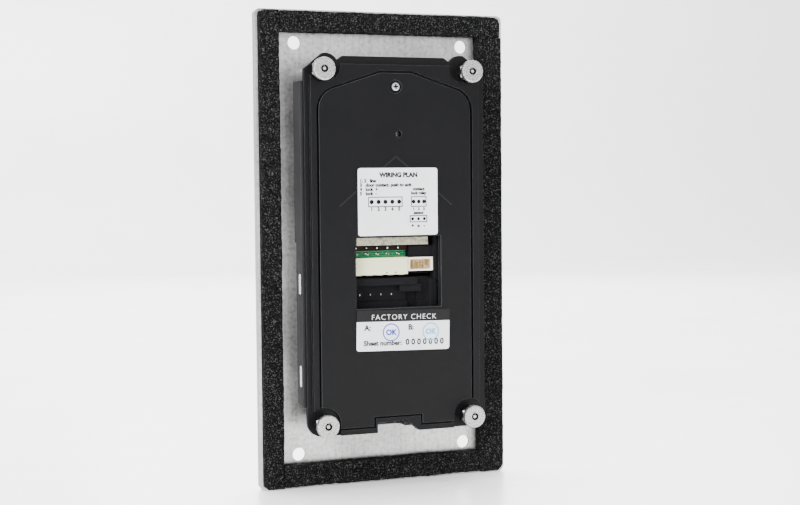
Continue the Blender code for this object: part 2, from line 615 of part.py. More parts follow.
def camera(mats):
    dark = mats["dark"]
    clear_y = SHELL_FRONT + FRONT_WALL
    extrude("camera_window", camera_outline(WINDOW_LIP), SHELL_FRONT, clear_y, mats["tinted"])

    # fixed bracket: a back plate and two arms with pins on the pan axis
    bracket = box("camera_bracket", -11.0, 11.0, 7.1, 8.3, CAM_Z - 13.5, CAM_Z + 13.5, dark)
    for sign in (-1, 1):
        arm_low, arm_high = sorted((CAM_Z + sign * 12.0, CAM_Z + sign * 13.5))
        pin_low, pin_high = sorted((CAM_Z + sign * 8.2, CAM_Z + sign * 12.4))
        join(bracket,
             box("arm", -4.0, 4.0, CAM_Y - 2.5, 7.6, arm_low, arm_high, dark),
             extrude("pin", arc((0.0, CAM_Y), 1.4, 0.0, 345.0, 23), pin_low, pin_high, dark,
                     axis="z"))

    # yoke: a ring that pans on the bracket's pins
    yoke = box("camera_yoke", -11.0, 11.0, CAM_Y - 2.0, CAM_Y + 2.0, CAM_Z - 9.5, CAM_Z + 9.5, dark)
    cut(yoke,
        box("inside", -9.0, 9.0, CAM_Y - 3, CAM_Y + 3, CAM_Z - 7.5, CAM_Z + 7.5, dark),
        extrude("pan bore", arc((0.0, CAM_Y), 1.7, 0.0, 345.0, 23), CAM_Z - 12, CAM_Z + 12, dark,
                axis="z"),
        extrude("tilt bore", arc((CAM_Y, CAM_Z), 1.3, 0.0, 345.0, 23), -12.0, 12.0, dark,
                axis="x"))

    # head: tilts on its own pins in the yoke and carries the lens
    head = box("camera_head", -6.4, 6.4, CAM_Y - 2.0, CAM_Y + 2.0, CAM_Z - 5.0, CAM_Z + 5.0, dark)
    for sign in (-1, 1):
        low, high = sorted((sign * 6.0, sign * 10.3))
        join(head, extrude("tilt pin", arc((CAM_Y, CAM_Z), 1.0, 0.0, 337.5, 15), low, high, dark,
                           axis="x"))
    cut(head, disc("lens bore", (0.0, CAM_Z), 3.3, CAM_Y - 4, CAM_Y + 1, dark, 28))
    tip = CAM_Y - 4.0
    turned("lens_barrel", (0.0, CAM_Z),
           [(0, tip + 1.3), (2.5, tip + 1.3), (2.5, tip), (3.0, tip), (3.0, CAM_Y + 0.7),
            (0, CAM_Y + 0.7)], dark, 28)
    turned("lens_glass", (0.0, CAM_Z),
           [(0, tip + 0.1), (1.2, tip + 0.22), (2.2, tip + 0.7), (2.2, tip + 1.0),
            (0, tip + 1.0)], mats["lens"], 24)

    led_y = clear_y + 1.2
    leds = extrude("led_board", rectangle(-22.0, 22.0, CAM_Z - 15.6, CAM_Z + 15.6), led_y,
                   led_y + 1.0, mats["board"])
    cut(leds, box("window", -13.4, 13.4, led_y - 1, led_y + 2, CAM_Z - 14.0, CAM_Z + 14.0,
                  mats["board"]))
    for number, x in enumerate((-17.6, 17.6), 1):
        turned(f"ir_led_{number}", (x, CAM_Z),
               [(0, clear_y + 0.3), (1.4, clear_y + 0.4), (2.0, led_y - GAP), (0, led_y - GAP)],
               mats["clear"], 20)

    board_y = 8.3 + GAP
    box("camera_board", -12.0, 12.0, board_y, board_y + 1.2, CAM_Z - 12.5, CAM_Z + 12.5,
        mats["board"])
    trim_y = board_y + 1.2 + GAP
    disc("trimmer_body", TRIM_HOLE, 2.6, trim_y, trim_y + 1.0, mats["cream"], 8)
    rotor = disc("trimmer_rotor", TRIM_HOLE, 1.2, trim_y + 1.0 + GAP, 13.0, mats["zinc"], 20)
    cut(rotor, box("driver slot", TRIM_HOLE[0] - 1.0, TRIM_HOLE[0] + 1.0, 12.5, 14.0,
                   TRIM_HOLE[1] - 0.2, TRIM_HOLE[1] + 0.2, dark))


# ---------------------------------------------------------------- call buttons

def call_buttons(mats):
    """Per row: a steel button, its silicone boot and switch, and a lit name window."""
    clear_y = SHELL_FRONT + FRONT_WALL
    for number, (row, (tab_low, tab_high)) in enumerate(zip(BUTTON_ROWS, TAB_ROWS), 1):
        centre = (BUTTON_X, row)
        face = PLATE_OUT - BUTTON_PROUD
        turned(f"call_button_{number}", centre,
               [(0, face + 0.25), (BUTTON_R - 2.2, face + 0.25), (BUTTON_R - 1.4, face),
                (BUTTON_R - 0.4, face), (BUTTON_R, face + 0.4), (BUTTON_R, SHELL_FRONT + 0.1),
                (BUTTON_FLANGE_R, SHELL_FRONT + 0.1), (BUTTON_FLANGE_R, SHELL_FRONT + 1.2),
                (2.0, SHELL_FRONT + 1.2), (2.0, -0.9), (0, -0.9)], mats["steel"], 32)
        ring(f"button_boot_{number}", centre, 4.6, 6.0, SHELL_FRONT + 1.2 + BUTTON_TRAVEL + 0.2,
             BOARD_Y[0] - GAP, mats["rubber"], 20)
        switch = box(f"tact_switch_{number}", BUTTON_X - 3, BUTTON_X + 3, 1.6, BOARD_Y[0] - GAP,
                     row - 3, row + 3, mats["dark"])
        join(switch, disc("plunger", centre, 1.6, 0.8, 2.0, mats["dark"], 16))
        extrude(f"name_window_{number}", name_window_outline(row, WINDOW_LIP), SHELL_FRONT,
                SHELL_FRONT + 1.2, mats["clear"])
        card_y = clear_y + 0.1
        half = WINDOW_H / 2 + 1.0
        box(f"name_card_{number}", WINDOW_X[0] - 1, WINDOW_X[1] + 1, card_y, card_y + 0.3,
            row - half, row + half, mats["paper"])
        # the guide lies behind the card, turns back along the side wall and ends in its slot
        near = card_y + 0.3 + GAP
        profile = [(WINDOW_X[0], near), (36.8, near), (36.8, 5.0), (BODY_X - 0.4, 5.0),
                   (BODY_X - 0.4, 8.6), (34.2, 8.6), (34.2, near + 1.5), (WINDOW_X[0], near + 1.5)]
        extrude(f"light_guide_{number}", profile, tab_low + GAP, tab_high - GAP, mats["clear"],
                axis="z")


def main():
    for obj in list(bpy.data.objects):
        bpy.data.objects.remove(obj)
    mats = materials()
    front_plate(mats)
    gaskets(mats)
    studs_and_nuts(mats)
    front_shell(mats)
    rear_shell(mats)
    rear_cover(mats)
    cable_grommet(mats)
    electronics(mats)
    labels(mats)
    sound(mats)
    camera(mats)
    call_buttons(mats)


main()
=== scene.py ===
"""Finished look of the door intercom panel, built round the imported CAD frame."""

import math
import random

import bmesh
import bpy
from mathutils import Matrix, Vector, noise


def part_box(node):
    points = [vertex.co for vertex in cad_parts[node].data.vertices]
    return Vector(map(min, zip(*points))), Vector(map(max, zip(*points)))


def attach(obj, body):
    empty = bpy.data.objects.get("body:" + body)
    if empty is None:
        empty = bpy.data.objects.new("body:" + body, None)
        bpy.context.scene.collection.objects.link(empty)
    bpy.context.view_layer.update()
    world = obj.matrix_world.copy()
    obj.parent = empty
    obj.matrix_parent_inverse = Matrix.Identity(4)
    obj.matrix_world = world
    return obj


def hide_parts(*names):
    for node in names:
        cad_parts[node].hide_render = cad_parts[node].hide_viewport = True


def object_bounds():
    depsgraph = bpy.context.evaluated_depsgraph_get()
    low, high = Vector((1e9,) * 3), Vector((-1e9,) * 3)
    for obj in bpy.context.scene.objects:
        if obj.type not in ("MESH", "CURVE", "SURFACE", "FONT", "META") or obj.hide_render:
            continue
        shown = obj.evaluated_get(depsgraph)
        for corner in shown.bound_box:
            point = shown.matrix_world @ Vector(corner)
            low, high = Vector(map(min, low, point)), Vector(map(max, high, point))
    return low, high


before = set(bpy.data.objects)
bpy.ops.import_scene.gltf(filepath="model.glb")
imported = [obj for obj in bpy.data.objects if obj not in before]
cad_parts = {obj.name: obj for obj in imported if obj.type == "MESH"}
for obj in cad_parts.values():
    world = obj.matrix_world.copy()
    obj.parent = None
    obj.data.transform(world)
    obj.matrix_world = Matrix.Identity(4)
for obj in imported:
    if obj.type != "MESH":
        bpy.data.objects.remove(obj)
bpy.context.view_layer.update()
MM = 0.001
BASE = "base"
PRINT_RISE = 0.012


# ---------------- small helpers

def linear(code):
    """An sRGB hex colour as the linear value Blender's sockets take."""
    channels = [int(code[i:i + 2], 16) / 255 for i in (0, 2, 4)]
    return [c / 12.92 if c <= 0.04045 else ((c + 0.055) / 1.055) ** 2.4 for c in channels] + [1.0]


RAMP = "ShaderNodeValToRGB"
MATH = "ShaderNodeMath"
MIX = "ShaderNodeMix"


def add(tree, kind, inputs=None, output=0, stops=(), **settings):
    """Add a node: each input is given a value or linked from a socket, and one output comes back.

    stops are a colour ramp's (position, hex code) pairs.
    """
    node = tree.nodes.new(kind)
    for key, value in settings.items():
        setattr(node, key, value)
    for key, value in (inputs or {}).items():
        if isinstance(value, bpy.types.NodeSocket):
            tree.links.new(value, node.inputs[key])
        else:
            node.inputs[key].default_value = value
    line = node.color_ramp.elements if stops else ()
    while len(line) < len(stops):
        line.new(0.5)
    for element, (position, code) in zip(line, stops):
        element.position = position
        element.color = linear(code)
    return node if output is None else node.outputs[output]


def grain(tree, coords, size_mm, detail=4.0, stretch=(1, 1, 1)):
    """Noise whose features are about size_mm across, longer along the axes stretched."""
    scale = [1 / MM / size_mm / s for s in stretch]
    scaled = add(tree, "ShaderNodeMapping", {"Vector": coords, "Scale": scale})
    return add(tree, "ShaderNodeTexNoise", {"Vector": scaled, "Scale": 1.0, "Detail": detail})


def cells(tree, coords, size_mm):
    """Distance to the middle of the nearest cell; the cells are about size_mm across."""
    scaled = add(tree, "ShaderNodeMapping", {"Vector": coords, "Scale": [1 / MM / size_mm] * 3})
    return add(tree, "ShaderNodeTexVoronoi", {"Vector": scaled, "Scale": 1.0}, "Distance",
               feature="F1")


def blend(tree, first, second, share):
    """Sum of two values: the first in its share, the second in the rest."""
    parts = [add(tree, MATH, {0: value, 1: part}, operation="MULTIPLY")
             for value, part in ((first, share), (second, 1 - share))]
    return add(tree, MATH, {0: parts[0], 1: parts[1]}, operation="ADD")


def toned(tree, colour, value, stops):
    """The colour, made darker where the value's ramp is dark."""
    shade = add(tree, RAMP, {"Fac": value}, stops=stops)
    return add(tree, MIX, {0: 1.0, 6: colour, 7: shade}, 2, data_type="RGBA",
               blend_type="MULTIPLY")


def surface(name, **constants):
    """New Principled material; constants go straight on the shader's own sockets."""
    mat = bpy.data.materials.new(name)
    mat.use_nodes = True
    tree = mat.node_tree
    shader = tree.nodes["Principled BSDF"]
    for key, value in constants.items():
        shader.inputs[key.replace("_", " ")].default_value = value
    return mat, tree, shader, add(tree, "ShaderNodeTexCoord", output="Object")


def wire(tree, shader, colour, rough, height=None, depth_mm=0.02, strength=1.0):
    """Link a colour, a roughness and a bump height to the shader.

    The colour is a socket, or a value with its ramp's stops; the roughness is (value, low, high).
    """
    if isinstance(colour, tuple):
        colour = add(tree, RAMP, {"Fac": colour[0]}, stops=colour[1])
    tree.links.new(colour, shader.inputs["Base Color"])
    value, low, high = rough
    spread = add(tree, "ShaderNodeMapRange", {"Value": value, "To Min": low, "To Max": high})
    tree.links.new(spread, shader.inputs["Roughness"])
    if height is not None:
        bump = add(tree, "ShaderNodeBump", {
            "Height": height, "Distance": depth_mm * MM, "Strength": strength})
        tree.links.new(bump, shader.inputs["Normal"])


def plain(name, size_mm, detail, stops, rough, bump=(), stretch=(1, 1, 1), **constants):
    """Material whose colour, roughness and relief all follow one noise."""
    mat, tree, shader, coords = surface(name, **constants)
    value = grain(tree, coords, size_mm, detail, stretch)
    wire(tree, shader, (value, stops), (value, *rough), value if bump else None, *bump)
    return mat


# ---------------- materials

def brushed_stainless(name, axis, tone="C8C7C5", crisp=False):
    """Stainless sheet, belt brushed: long fine streaks along one axis, with cloudy dull areas."""
    mat, tree, shader, coords = surface(name, Metallic=1.0, Anisotropic=0.45)
    streak_length = 260.0
    stretch = [streak_length if i == axis else 1.0 for i in range(3)]
    fine = grain(tree, coords, 0.16, 3.0, stretch)
    coarse = grain(tree, coords, 0.9, 3.0, [s * 0.4 if s > 1 else 1 for s in stretch])
    cloud = grain(tree, coords, 34.0, 5.0)
    rubbed = grain(tree, coords, 1.7, 5.0)
    streak = blend(tree, fine, coarse, 0.6)
    pattern = blend(tree, streak, rubbed, 0.92 if crisp else 0.45)
    shades = ("8E8D8B", tone, "C2C1BE") if crisp else ("A2A19E", tone, "DAD9D6")
    base = add(tree, RAMP, {"Fac": pattern}, stops=list(zip((0.36, 0.5, 0.64), shades)))
    smears = [(0.36, "EEEEEE" if crisp else "D8D8D8"), (0.6, "FFFFFF")]
    wire(tree, shader, toned(tree, base, cloud, smears),
         (blend(tree, streak, cloud, 0.5), 0.24, 0.5), streak if crisp else rubbed, 0.02, 0.5)
    return mat


def turned_nickel():
    """Nickel plated brass faced on a lathe: fine rings round the axis and a satin shine."""
    mat, tree, shader, coords = surface("nickel plated brass, turned", Metallic=1.0)
    radius = add(tree, "ShaderNodeAttribute", output="Fac", attribute_name="radius_mm")
    wobble = add(tree, MATH, {0: grain(tree, coords, 3.0), 1: 0.05}, operation="MULTIPLY")
    outwards = add(tree, MATH, {0: radius, 1: wobble}, operation="ADD")
    rings = add(tree, "ShaderNodeTexNoise", {"W": outwards, "Scale": 7.0, "Detail": 3.0},
                noise_dimensions="1D")
    cloud = grain(tree, coords, 4.0, 4.0)
    pits = grain(tree, coords, 0.55, 2.0)
    bore = add(tree, "ShaderNodeAttribute", output="Fac", attribute_name="bore_painted_shade")
    face = add(tree, RAMP, {"Fac": rings},
               stops=[(0.3, "B4B3B0"), (0.55, "D2D1CE"), (0.75, "E4E3E0")])
    face = toned(tree, face, pits, [(0.36, "8E8E8E"), (0.56, "FFFFFF")])
    # near black inside the bore: painted shade
    whole = add(tree, MIX, {0: bore, 6: linear("0C0C0C"), 7: face}, 2, data_type="RGBA")
    wire(tree, shader, whole, (blend(tree, rings, cloud, 0.5), 0.28, 0.52), rings, 0.015, 0.7)
    return mat


def zinc_plate():
    """Bright zinc plating: slightly blue, with a faint crystalline mottle and duller patches."""
    mat, tree, shader, coords = surface("zinc plated steel, bright", Metallic=1.0)
    mottle = cells(tree, coords, 0.7)
    wire(tree, shader, (mottle, [(0.1, "B4B7BC"), (0.5, "C4C6CA"), (0.9, "D4D4D2")]),
         (grain(tree, coords, 3.0, 4.0), 0.18, 0.42), mottle, 0.01, 0.5)
    return mat


def moulded_plastic(name, tone, dark, grain_mm=0.22, rough=(0.34, 0.5), depth=0.012, sheen=0.5):
    """Injection moulded plastic with a spark-eroded texture: even, slightly orange-peel satin."""
    mat, tree, shader, coords = surface(name, IOR=1.53, Specular_IOR_Level=sheen)
    fine = grain(tree, coords, grain_mm, 3.0)
    cloud = grain(tree, coords, 26.0, 5.0)
    body = add(tree, RAMP, {"Fac": cloud}, stops=[(0.35, dark), (0.65, tone)])
    dust = add(tree, RAMP, {"Fac": cells(tree, coords, 1.1)},
               stops=[(0.0, "2A2A2A"), (0.045, "000000")])
    colour = add(tree, MIX, {0: 0.35, 6: body, 7: dust}, 2, data_type="RGBA", blend_type="ADD")
    wire(tree, shader, colour, (blend(tree, cloud, fine, 0.6), *rough), fine, depth, 0.7)
    return mat


def epdm_foam():
    """Expanded black rubber: small burst cells, painted dark in their middles as shade and lighter
    at their rims as highlights.
    """
    mat, tree, shader, coords = surface("black EPDM foam, expanded", IOR=1.5,
                                        Specular_IOR_Level=0.08)
    both = blend(tree, cells(tree, coords, 0.55), grain(tree, coords, 0.45, 1.0), 0.5)
    # cell middles near black and rims in lighter greys: painted shade and highlights
    rim_highlights = add(tree, RAMP, {"Fac": both},
               stops=[(0.38, "020202"), (0.51, "090909"), (0.58, "181818"), (0.7, "464646")])
    cloud = grain(tree, coords, 2.2, 5.0)
    wire(tree, shader, toned(tree, rim_highlights, cloud, [(0.3, "9C9C9C"), (0.65, "FFFFFF")]),
         (both, 0.95, 0.7), both, 0.35, 1.0)
    return mat


def board_mask(colour, low, high, track):
    """Glass-fibre board under solder mask: glossy, with paler lines where copper runs below."""
    mat, tree, shader, coords = surface(f"FR4 board, {colour} solder mask", IOR=1.5,
                                        Specular_IOR_Level=0.25)
    scaled = add(tree, "ShaderNodeMapping", {"Vector": coords, "Scale": (520, 520, 520)})
    turned = add(tree, "ShaderNodeMapping", {"Vector": scaled, "Rotation": (math.pi / 2, 0, 0)})
    tracks = add(tree, "ShaderNodeTexBrick", {
        "Vector": turned, "Scale": 1.0, "Mortar Size": 0.09, "Brick Width": 1.7,
        "Row Height": 0.55}, "Fac")
    weave = grain(tree, coords, 0.5, 2.0)
    ground = add(tree, RAMP, {"Fac": weave}, stops=[(0.3, low), (0.7, high)])
    mask = add(tree, MIX, {0: tracks, 6: ground, 7: linear(track)}, 2, data_type="RGBA")
    wire(tree, shader, mask, (weave, 0.22, 0.4), tracks, 0.03, 0.5)
    return mat


def label_paper():
    """Coated label stock: bright white with a faint fibre mottle and a dull satin surface."""
    mat, tree, shader, coords = surface("label paper, coated", IOR=1.5)
    fibre = grain(tree, coords, 0.35, 4.0)
    cloud = grain(tree, coords, 9.0, 3.0)
    base = add(tree, RAMP, {"Fac": fibre}, stops=[(0.3, "E2E3E6"), (0.7, "EEEFF2")])
    wire(tree, shader, toned(tree, base, cloud, [(0.3, "F2F2F2"), (0.7, "FFFFFF")]),
         (fibre, 0.42, 0.58), fibre, 0.01, 0.4)
    return mat


def printing_ink(name, code, pale):
    """Thermal or stamped ink: not quite solid, with tiny pale gaps in the strokes."""
    return plain(name, 0.18, 2.0, [(0.5, code), (0.78, pale)], (0.45, 0.6), IOR=1.5,
                 Specular_IOR_Level=0.12)


def silicone():
    """Black silicone rubber: soft matt skin with a little bloom."""
    mat, tree, shader, coords = surface("black silicone, moulded", IOR=1.43,
                                        Specular_IOR_Level=0.4)
    bloom = grain(tree, coords, 1.6, 5.0)
    wire(tree, shader, (bloom, [(0.35, "111112"), (0.7, "232324")]), (bloom, 0.6, 0.8),
         grain(tree, coords, 0.2), 0.01, 0.6)
    return mat


def clear_acrylic(name, tint, body=0.0):
    """Polished acrylic: clear with a faint tint and very slight ripples in the surface."""
    return plain(name, 7.0, 2.0, [(0.3, tint[0]), (0.7, tint[1])], (0.04, 0.12), (0.01, 0.3),
                 IOR=1.49, Transmission_Weight=1.0 - body)


def bare_metal(name, dark, tone, bright, rough, size_mm=0.6):
    """Small stamped or turned metal part: even colour with fine handling marks."""
    return plain(name, size_mm, 4.0, [(0.3, dark), (0.5, tone), (0.75, bright)], rough,
                 (0.01, 0.5), Metallic=1.0)


def coated_glass():
    """Lens glass with an anti-reflection coating: near black, with a blue-violet sheen painted into
    the colour, paler where the surface turns from view.
    """
    mat, tree, shader, coords = surface("lens glass, coated", IOR=1.6, Coat_Weight=1.0,
                                        Coat_Roughness=0.02, Transmission_Weight=0.25)
    # colour paler where the surface turns from view: painted sheen
    sheen_by_facing = add(tree, "ShaderNodeLayerWeight", {"Blend": 0.45}, "Facing")
    stops = [(0.0, "0A0C1C"), (0.35, "1B1440"), (0.7, "2A3D6E"), (1.0, "5C7FA8")]
    wire(tree, shader, (sheen_by_facing, stops), (grain(tree, coords, 2.0, 3.0), 0.02, 0.06))
    return mat


STEEL = brushed_stainless("304 stainless sheet, brushed along Z", 2)
# Street face and folded sides: crisper streaks, and darker copies of the sheet's tone as painted
# shade, the sides darkest.
STEEL_FACE_SHADED = brushed_stainless("304 stainless sheet, street face, painted shade", 2, "979694", True)
STEEL_SIDE_SHADED = brushed_stainless("304 stainless sheet, folded side, painted shade", 2, "6E6D6B", True)
STEEL_BUTTON = brushed_stainless("304 stainless, brushed along X", 0, "B4B3B1", True)
NICKEL = turned_nickel()
ZINC = zinc_plate()
TIN = bare_metal("tinned steel, stamped", "7F7B6C", "A6A18D", "C9C4AE", (0.3, 0.5), 1.4)
BRASS = bare_metal("brass, stamped", "7A5A25", "B08A45", "DDBB74", (0.2, 0.4))
SOLDER = bare_metal("solder, wetted", "A8A8AA", "D2D2D4", "F2F2F2", (0.15, 0.35), 0.4)
ABS = moulded_plastic("ABS, black, spark eroded", "070708", "050506", sheen=0.145)
# Lighter copy of the black ABS for the front shell, whose side faces the key lamp: painted light.
ABS_SIDE_LIT = moulded_plastic("ABS, black, side wall, painted light", "1C1C1E", "141416", 0.3, (0.4, 0.55),
                           sheen=0.35)
# Grey copy of the black ABS for the rounded edges of the rear shell and cover: painted highlight.
ABS_EDGE_HIGHLIGHT = moulded_plastic("ABS, black, edge, painted highlight", "4A4A4D", "343437", 0.3, (0.3, 0.45),
                           sheen=0.6)
NYLON = moulded_plastic("glass filled nylon, black", "151517", "0F0F11", 0.3, (0.5, 0.65),
                        0.02, 0.05)
# Dark grey steel with fine marks, for the nuts, the lens barrel and the trimmer rotor.
NUT_STEEL = bare_metal("steel, dark grey", "2A2A2C", "5C5C5E", "A4A4A6", (0.2, 0.36), 0.8)
# Near-black copy of the stainless for the walls of the corner holes: painted shade.
STEEL_HOLE_SHADE = bare_metal("stainless sheet, hole wall, painted shade", "202020", "343432", "4E4E4C",
                       (0.4, 0.6), 0.5)
# Slightly lighter copy of the black ABS for the arrow's raised lines: painted light.
RAISED_LINE_LIT = moulded_plastic("ABS, black, raised line, painted light", "131314", "0D0D0E", 0.3, (0.4, 0.5),
                         sheen=0.24)
MAROON = moulded_plastic("PBT, dark red", "240A0D", "180708", 0.2, (0.3, 0.45), sheen=0.1)
CREAM = moulded_plastic("polyamide, cream, moulded", "E2E6BE", "D6DAB0", 0.25, (0.38, 0.52), 0.01)
WHITE = moulded_plastic("polyamide, natural white", "F0E7D6", "E3D8C2", 0.25, (0.35, 0.5), 0.01)
FOAM = epdm_foam()
BOARD = board_mask("green", "04562A", "08713A", "2C9A66")
BLACK_BOARD = board_mask("black", "0C0C0E", "151517", "242426")
PAPER = label_paper()
INK = printing_ink("thermal print, black", "050506", "2A2A2C")
BAND = printing_ink("screen print, dark grey", "191919", "262626")
KNOCKOUT = printing_ink("screen print, white", "F0F0F0", "D8D8D8")
BLUE_INK = printing_ink("stamp ink, blue", "1420A0", "3C4AB8")
CYAN_INK = printing_ink("stamp ink, cyan", "3FA9CC", "8FD0E2")
# Near-black flats and edges set where recesses lie in shade: painted shade.
RECESS_SHADE = bare_metal("painted shade, recess", "141416", "1E1E20", "2C2C2E", (0.5, 0.7))
RUBBER = silicone()
FERRITE = plain("ferrite, sintered and ground", 0.3, 3.0, [(0.3, "26262A"), (0.7, "3C3C41")],
                (0.35, 0.6), (0.02, 0.5), IOR=2.2)
PULP = plain("pressed paper pulp", 0.5, 6.0, [(0.3, "141311"), (0.7, "2A2825")], (0.75, 0.95),
             (0.05, 0.7), (1, 1, 3), IOR=1.45)
CLEAR = clear_acrylic("acrylic, clear, moulded", ("E8F0F2", "F6FAFA"))
# Half-diffuse near-white acrylic for the light guides: frosted like a sawn edge, and whiter still
# as a painted glint.
FROSTED_GLINT = clear_acrylic("acrylic, frosted, painted glint", ("F4F8FA", "FDFEFE"), 0.5)
SMOKED = clear_acrylic("acrylic, smoked, polished", ("B2B2B8", "BCBCC2"), 0.0)
GLASS = coated_glass()


# ---------------- mesh helpers

def linked(name, data):
    """New object in the scene's own collection."""
    obj = bpy.data.objects.new(name, data)
    bpy.context.scene.collection.objects.link(obj)
    return obj


def keep(name, mesh, mat, stands_for=(), extras=(), body=BASE):
    """Link a finished mesh as a piece that rides on a CAD body."""
    mesh.name = name
    finishes = (mat, *extras)
    while len(mesh.materials) < len(finishes):
        mesh.materials.append(None)
    for index, finish in enumerate(finishes):
        mesh.materials[index] = finish
    obj = linked(name, mesh)
    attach(obj, body)
    if stands_for:
        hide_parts(*stands_for)
    return obj


def as_mesh(bm):
    """The bmesh as a new mesh; the bmesh goes."""
    mesh = bpy.data.meshes.new("work")
    bm.to_mesh(mesh)
    bm.free()
    return mesh


def evaluated(obj):
    """The object's result as a plain mesh; the helper object goes."""
    graph = bpy.context.evaluated_depsgraph_get()
    mesh = bpy.data.meshes.new_from_object(obj.evaluated_get(graph))
    bpy.data.objects.remove(obj)
    return mesh


def node_bmesh(name):
    """Merged copy of a CAD node's mesh, with flat areas joined into single faces."""
    bm = bmesh.new()
    bm.from_mesh(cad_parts[name].data)
    bmesh.ops.remove_doubles(bm, verts=bm.verts, dist=0.002 * MM)
    bmesh.ops.dissolve_limit(bm, angle_limit=math.radians(0.6), verts=bm.verts, edges=bm.edges)
    return bm


def weigh_normals(mesh, angle=50):
    """Corner normals weighted by area, so flats stay flat and rounded edges blend into them."""
    bm = bmesh.new()
    bm.from_mesh(mesh)
    bm.normal_update()
    areas = [face.calc_area() for face in bm.faces]
    limit = math.cos(math.radians(angle))
    normals = []
    for face in bm.faces:
        for loop in face.loops:
            total = face.normal * areas[face.index]
            for other in loop.vert.link_faces:
                if other is not face and face.normal.dot(other.normal) > limit:
                    total += other.normal * areas[other.index]
            normals.append(total.normalized())
    bm.free()
    mesh.shade_smooth()
    mesh.normals_split_custom_set(normals)
    return mesh


def bevelled(bm, width_mm, segments=2, angle=32, edge=None):
    """Mesh with its sharp edges rounded and its flats kept flat."""
    mesh = as_mesh(bm)
    obj = linked("work", mesh)
    bevel = obj.modifiers.new("bevel", "BEVEL")
    bevel.width = width_mm * MM
    bevel.segments = segments
    bevel.limit_method = "ANGLE"
    bevel.angle_limit = math.radians(angle)
    if edge:
        for _ in range(3):
            mesh.materials.append(edge)
        bevel.material = 1
    return weigh_normals(evaluated(obj))


def rounded_node(name, width_mm, mat, body=BASE, segments=2, edge=None):
    """The CAD node's own shape with its edges broken, standing for the node."""
    mesh = bevelled(node_bmesh(name), width_mm, segments, edge=edge)
    return keep(name + "_finished", mesh, mat, (name,), (edge,) if edge else (), body)


def corners(name):
    """Lowest and highest corner of a CAD node's box, in millimetres."""
    return [Vector(v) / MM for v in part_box(name)]


def centre_of(name):
    low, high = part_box(name)
    return (Vector(low) + Vector(high)) / 2 / MM


def mesh_from(bm, smooth=True, angle=35):
    """The bmesh as a mesh with its faces turned outwards, smooth up to an angle or flat."""
    bmesh.ops.recalc_face_normals(bm, faces=bm.faces)
    mesh = as_mesh(bm)
    if smooth:
        weigh_normals(mesh, angle)
    return mesh


def add_box(bm, low, high):
    """Add a box between two corners, in millimetres."""
    size = Vector(high) - Vector(low)
    middle = (Vector(high) + Vector(low)) / 2
    place = Matrix.Translation(middle * MM) @ Matrix.Diagonal((*(size * MM), 1))
    bmesh.ops.create_cube(bm, size=1.0, matrix=place)


def skin(bm, near, far):
    """Faces between two closed loops of equal length."""
    for i in range(len(near)):
        j = (i + 1) % len(near)
        bm.faces.new((near[i], near[j], far[j], far[i]))


def add_ring(bm, centre, profile, sides=40):
    """Add a turned shape about a line along y; the profile is a closed list of (radius, y).

    A radius may be a function of the angle.
    """
    loops = []
    for radius, y in profile:
        loop = []
        for i in range(sides):
            angle = 2 * math.pi * i / sides
            reach = radius(angle) if callable(radius) else radius
            loop.append(bm.verts.new(Vector((centre[0] + reach * math.cos(angle), y,
                                             centre[1] + reach * math.sin(angle))) * MM))
        loops.append(loop)
    for near, far in zip(loops, loops[1:] + loops[:1]):
        skin(bm, near, far)


def lettering(words, size_mm, x, y, z, align="CENTER", bold=0.0, tilt=0.0, spacing=1.0,
              turned=180):
    """Flat text facing the wall side, as a mesh; x, z is the middle or the start of the line."""
    curve = bpy.data.curves.new("work", "FONT")
    curve.body = words
    curve.size = size_mm * MM
    curve.align_x = align
    curve.align_y = "CENTER"
    curve.offset = bold * MM
    curve.extrude = 0.015 * MM
    curve.space_character = spacing
    curve.resolution_u = 3
    mesh = evaluated(linked("work", curve))
    upright = Matrix.Rotation(math.pi / 2, 4, "X")
    turn = Matrix.Rotation(math.radians(turned), 4, "Z") @ upright
    place = Matrix.Translation(Vector((x, y, z)) * MM) @ Matrix.Rotation(tilt, 4, "Y") @ turn
    mesh.transform(place)
    return mesh


def joined(meshes):
    bm = bmesh.new()
    for mesh in meshes:
        bm.from_mesh(mesh)
    return as_mesh(bm)


# ---------------- geometry node trees

def node_tree(name, inputs):
    """Geometry tree with named inputs, a material and one geometry output; gives its sources."""
    tree = bpy.data.node_groups.new(name, "GeometryNodeTree")
    for label, kind, value in (*inputs, ("Material", "Material", None)):
        socket = tree.interface.new_socket(label, in_out="INPUT", socket_type="NodeSocket" + kind)
        if value is not None:
            socket.default_value = value
    tree.interface.new_socket("Geometry", in_out="OUTPUT", socket_type="NodeSocketGeometry")
    return tree, add(tree, "NodeGroupInput", output=None).outputs


def close_tree(tree, geometry, source):
    """Make the copies real, paint them and hand them out."""
    real = add(tree, "GeometryNodeRealizeInstances", {0: geometry})
    painted = add(tree, "GeometryNodeSetMaterial", {
        "Geometry": real, "Material": source["Material"]})
    add(tree, "NodeGroupOutput", {0: painted}, None)
    return tree


def grow(tree, mat, values, points=()):
    """Run a tree on a bare mesh of points and return its result as a plain mesh."""
    mesh = bpy.data.meshes.new("work")
    mesh.from_pydata([Vector(p) * MM for p in points], [], [])
    obj = linked("work", mesh)
    modifier = obj.modifiers.new("grow", "NODES")
    modifier.node_group = tree
    names = {item.name: item.identifier for item in tree.interface.items_tree
             if item.in_out == "INPUT"}
    for label, value in {**values, "Material": mat}.items():
        modifier[names[label]] = value
    return evaluated(obj)


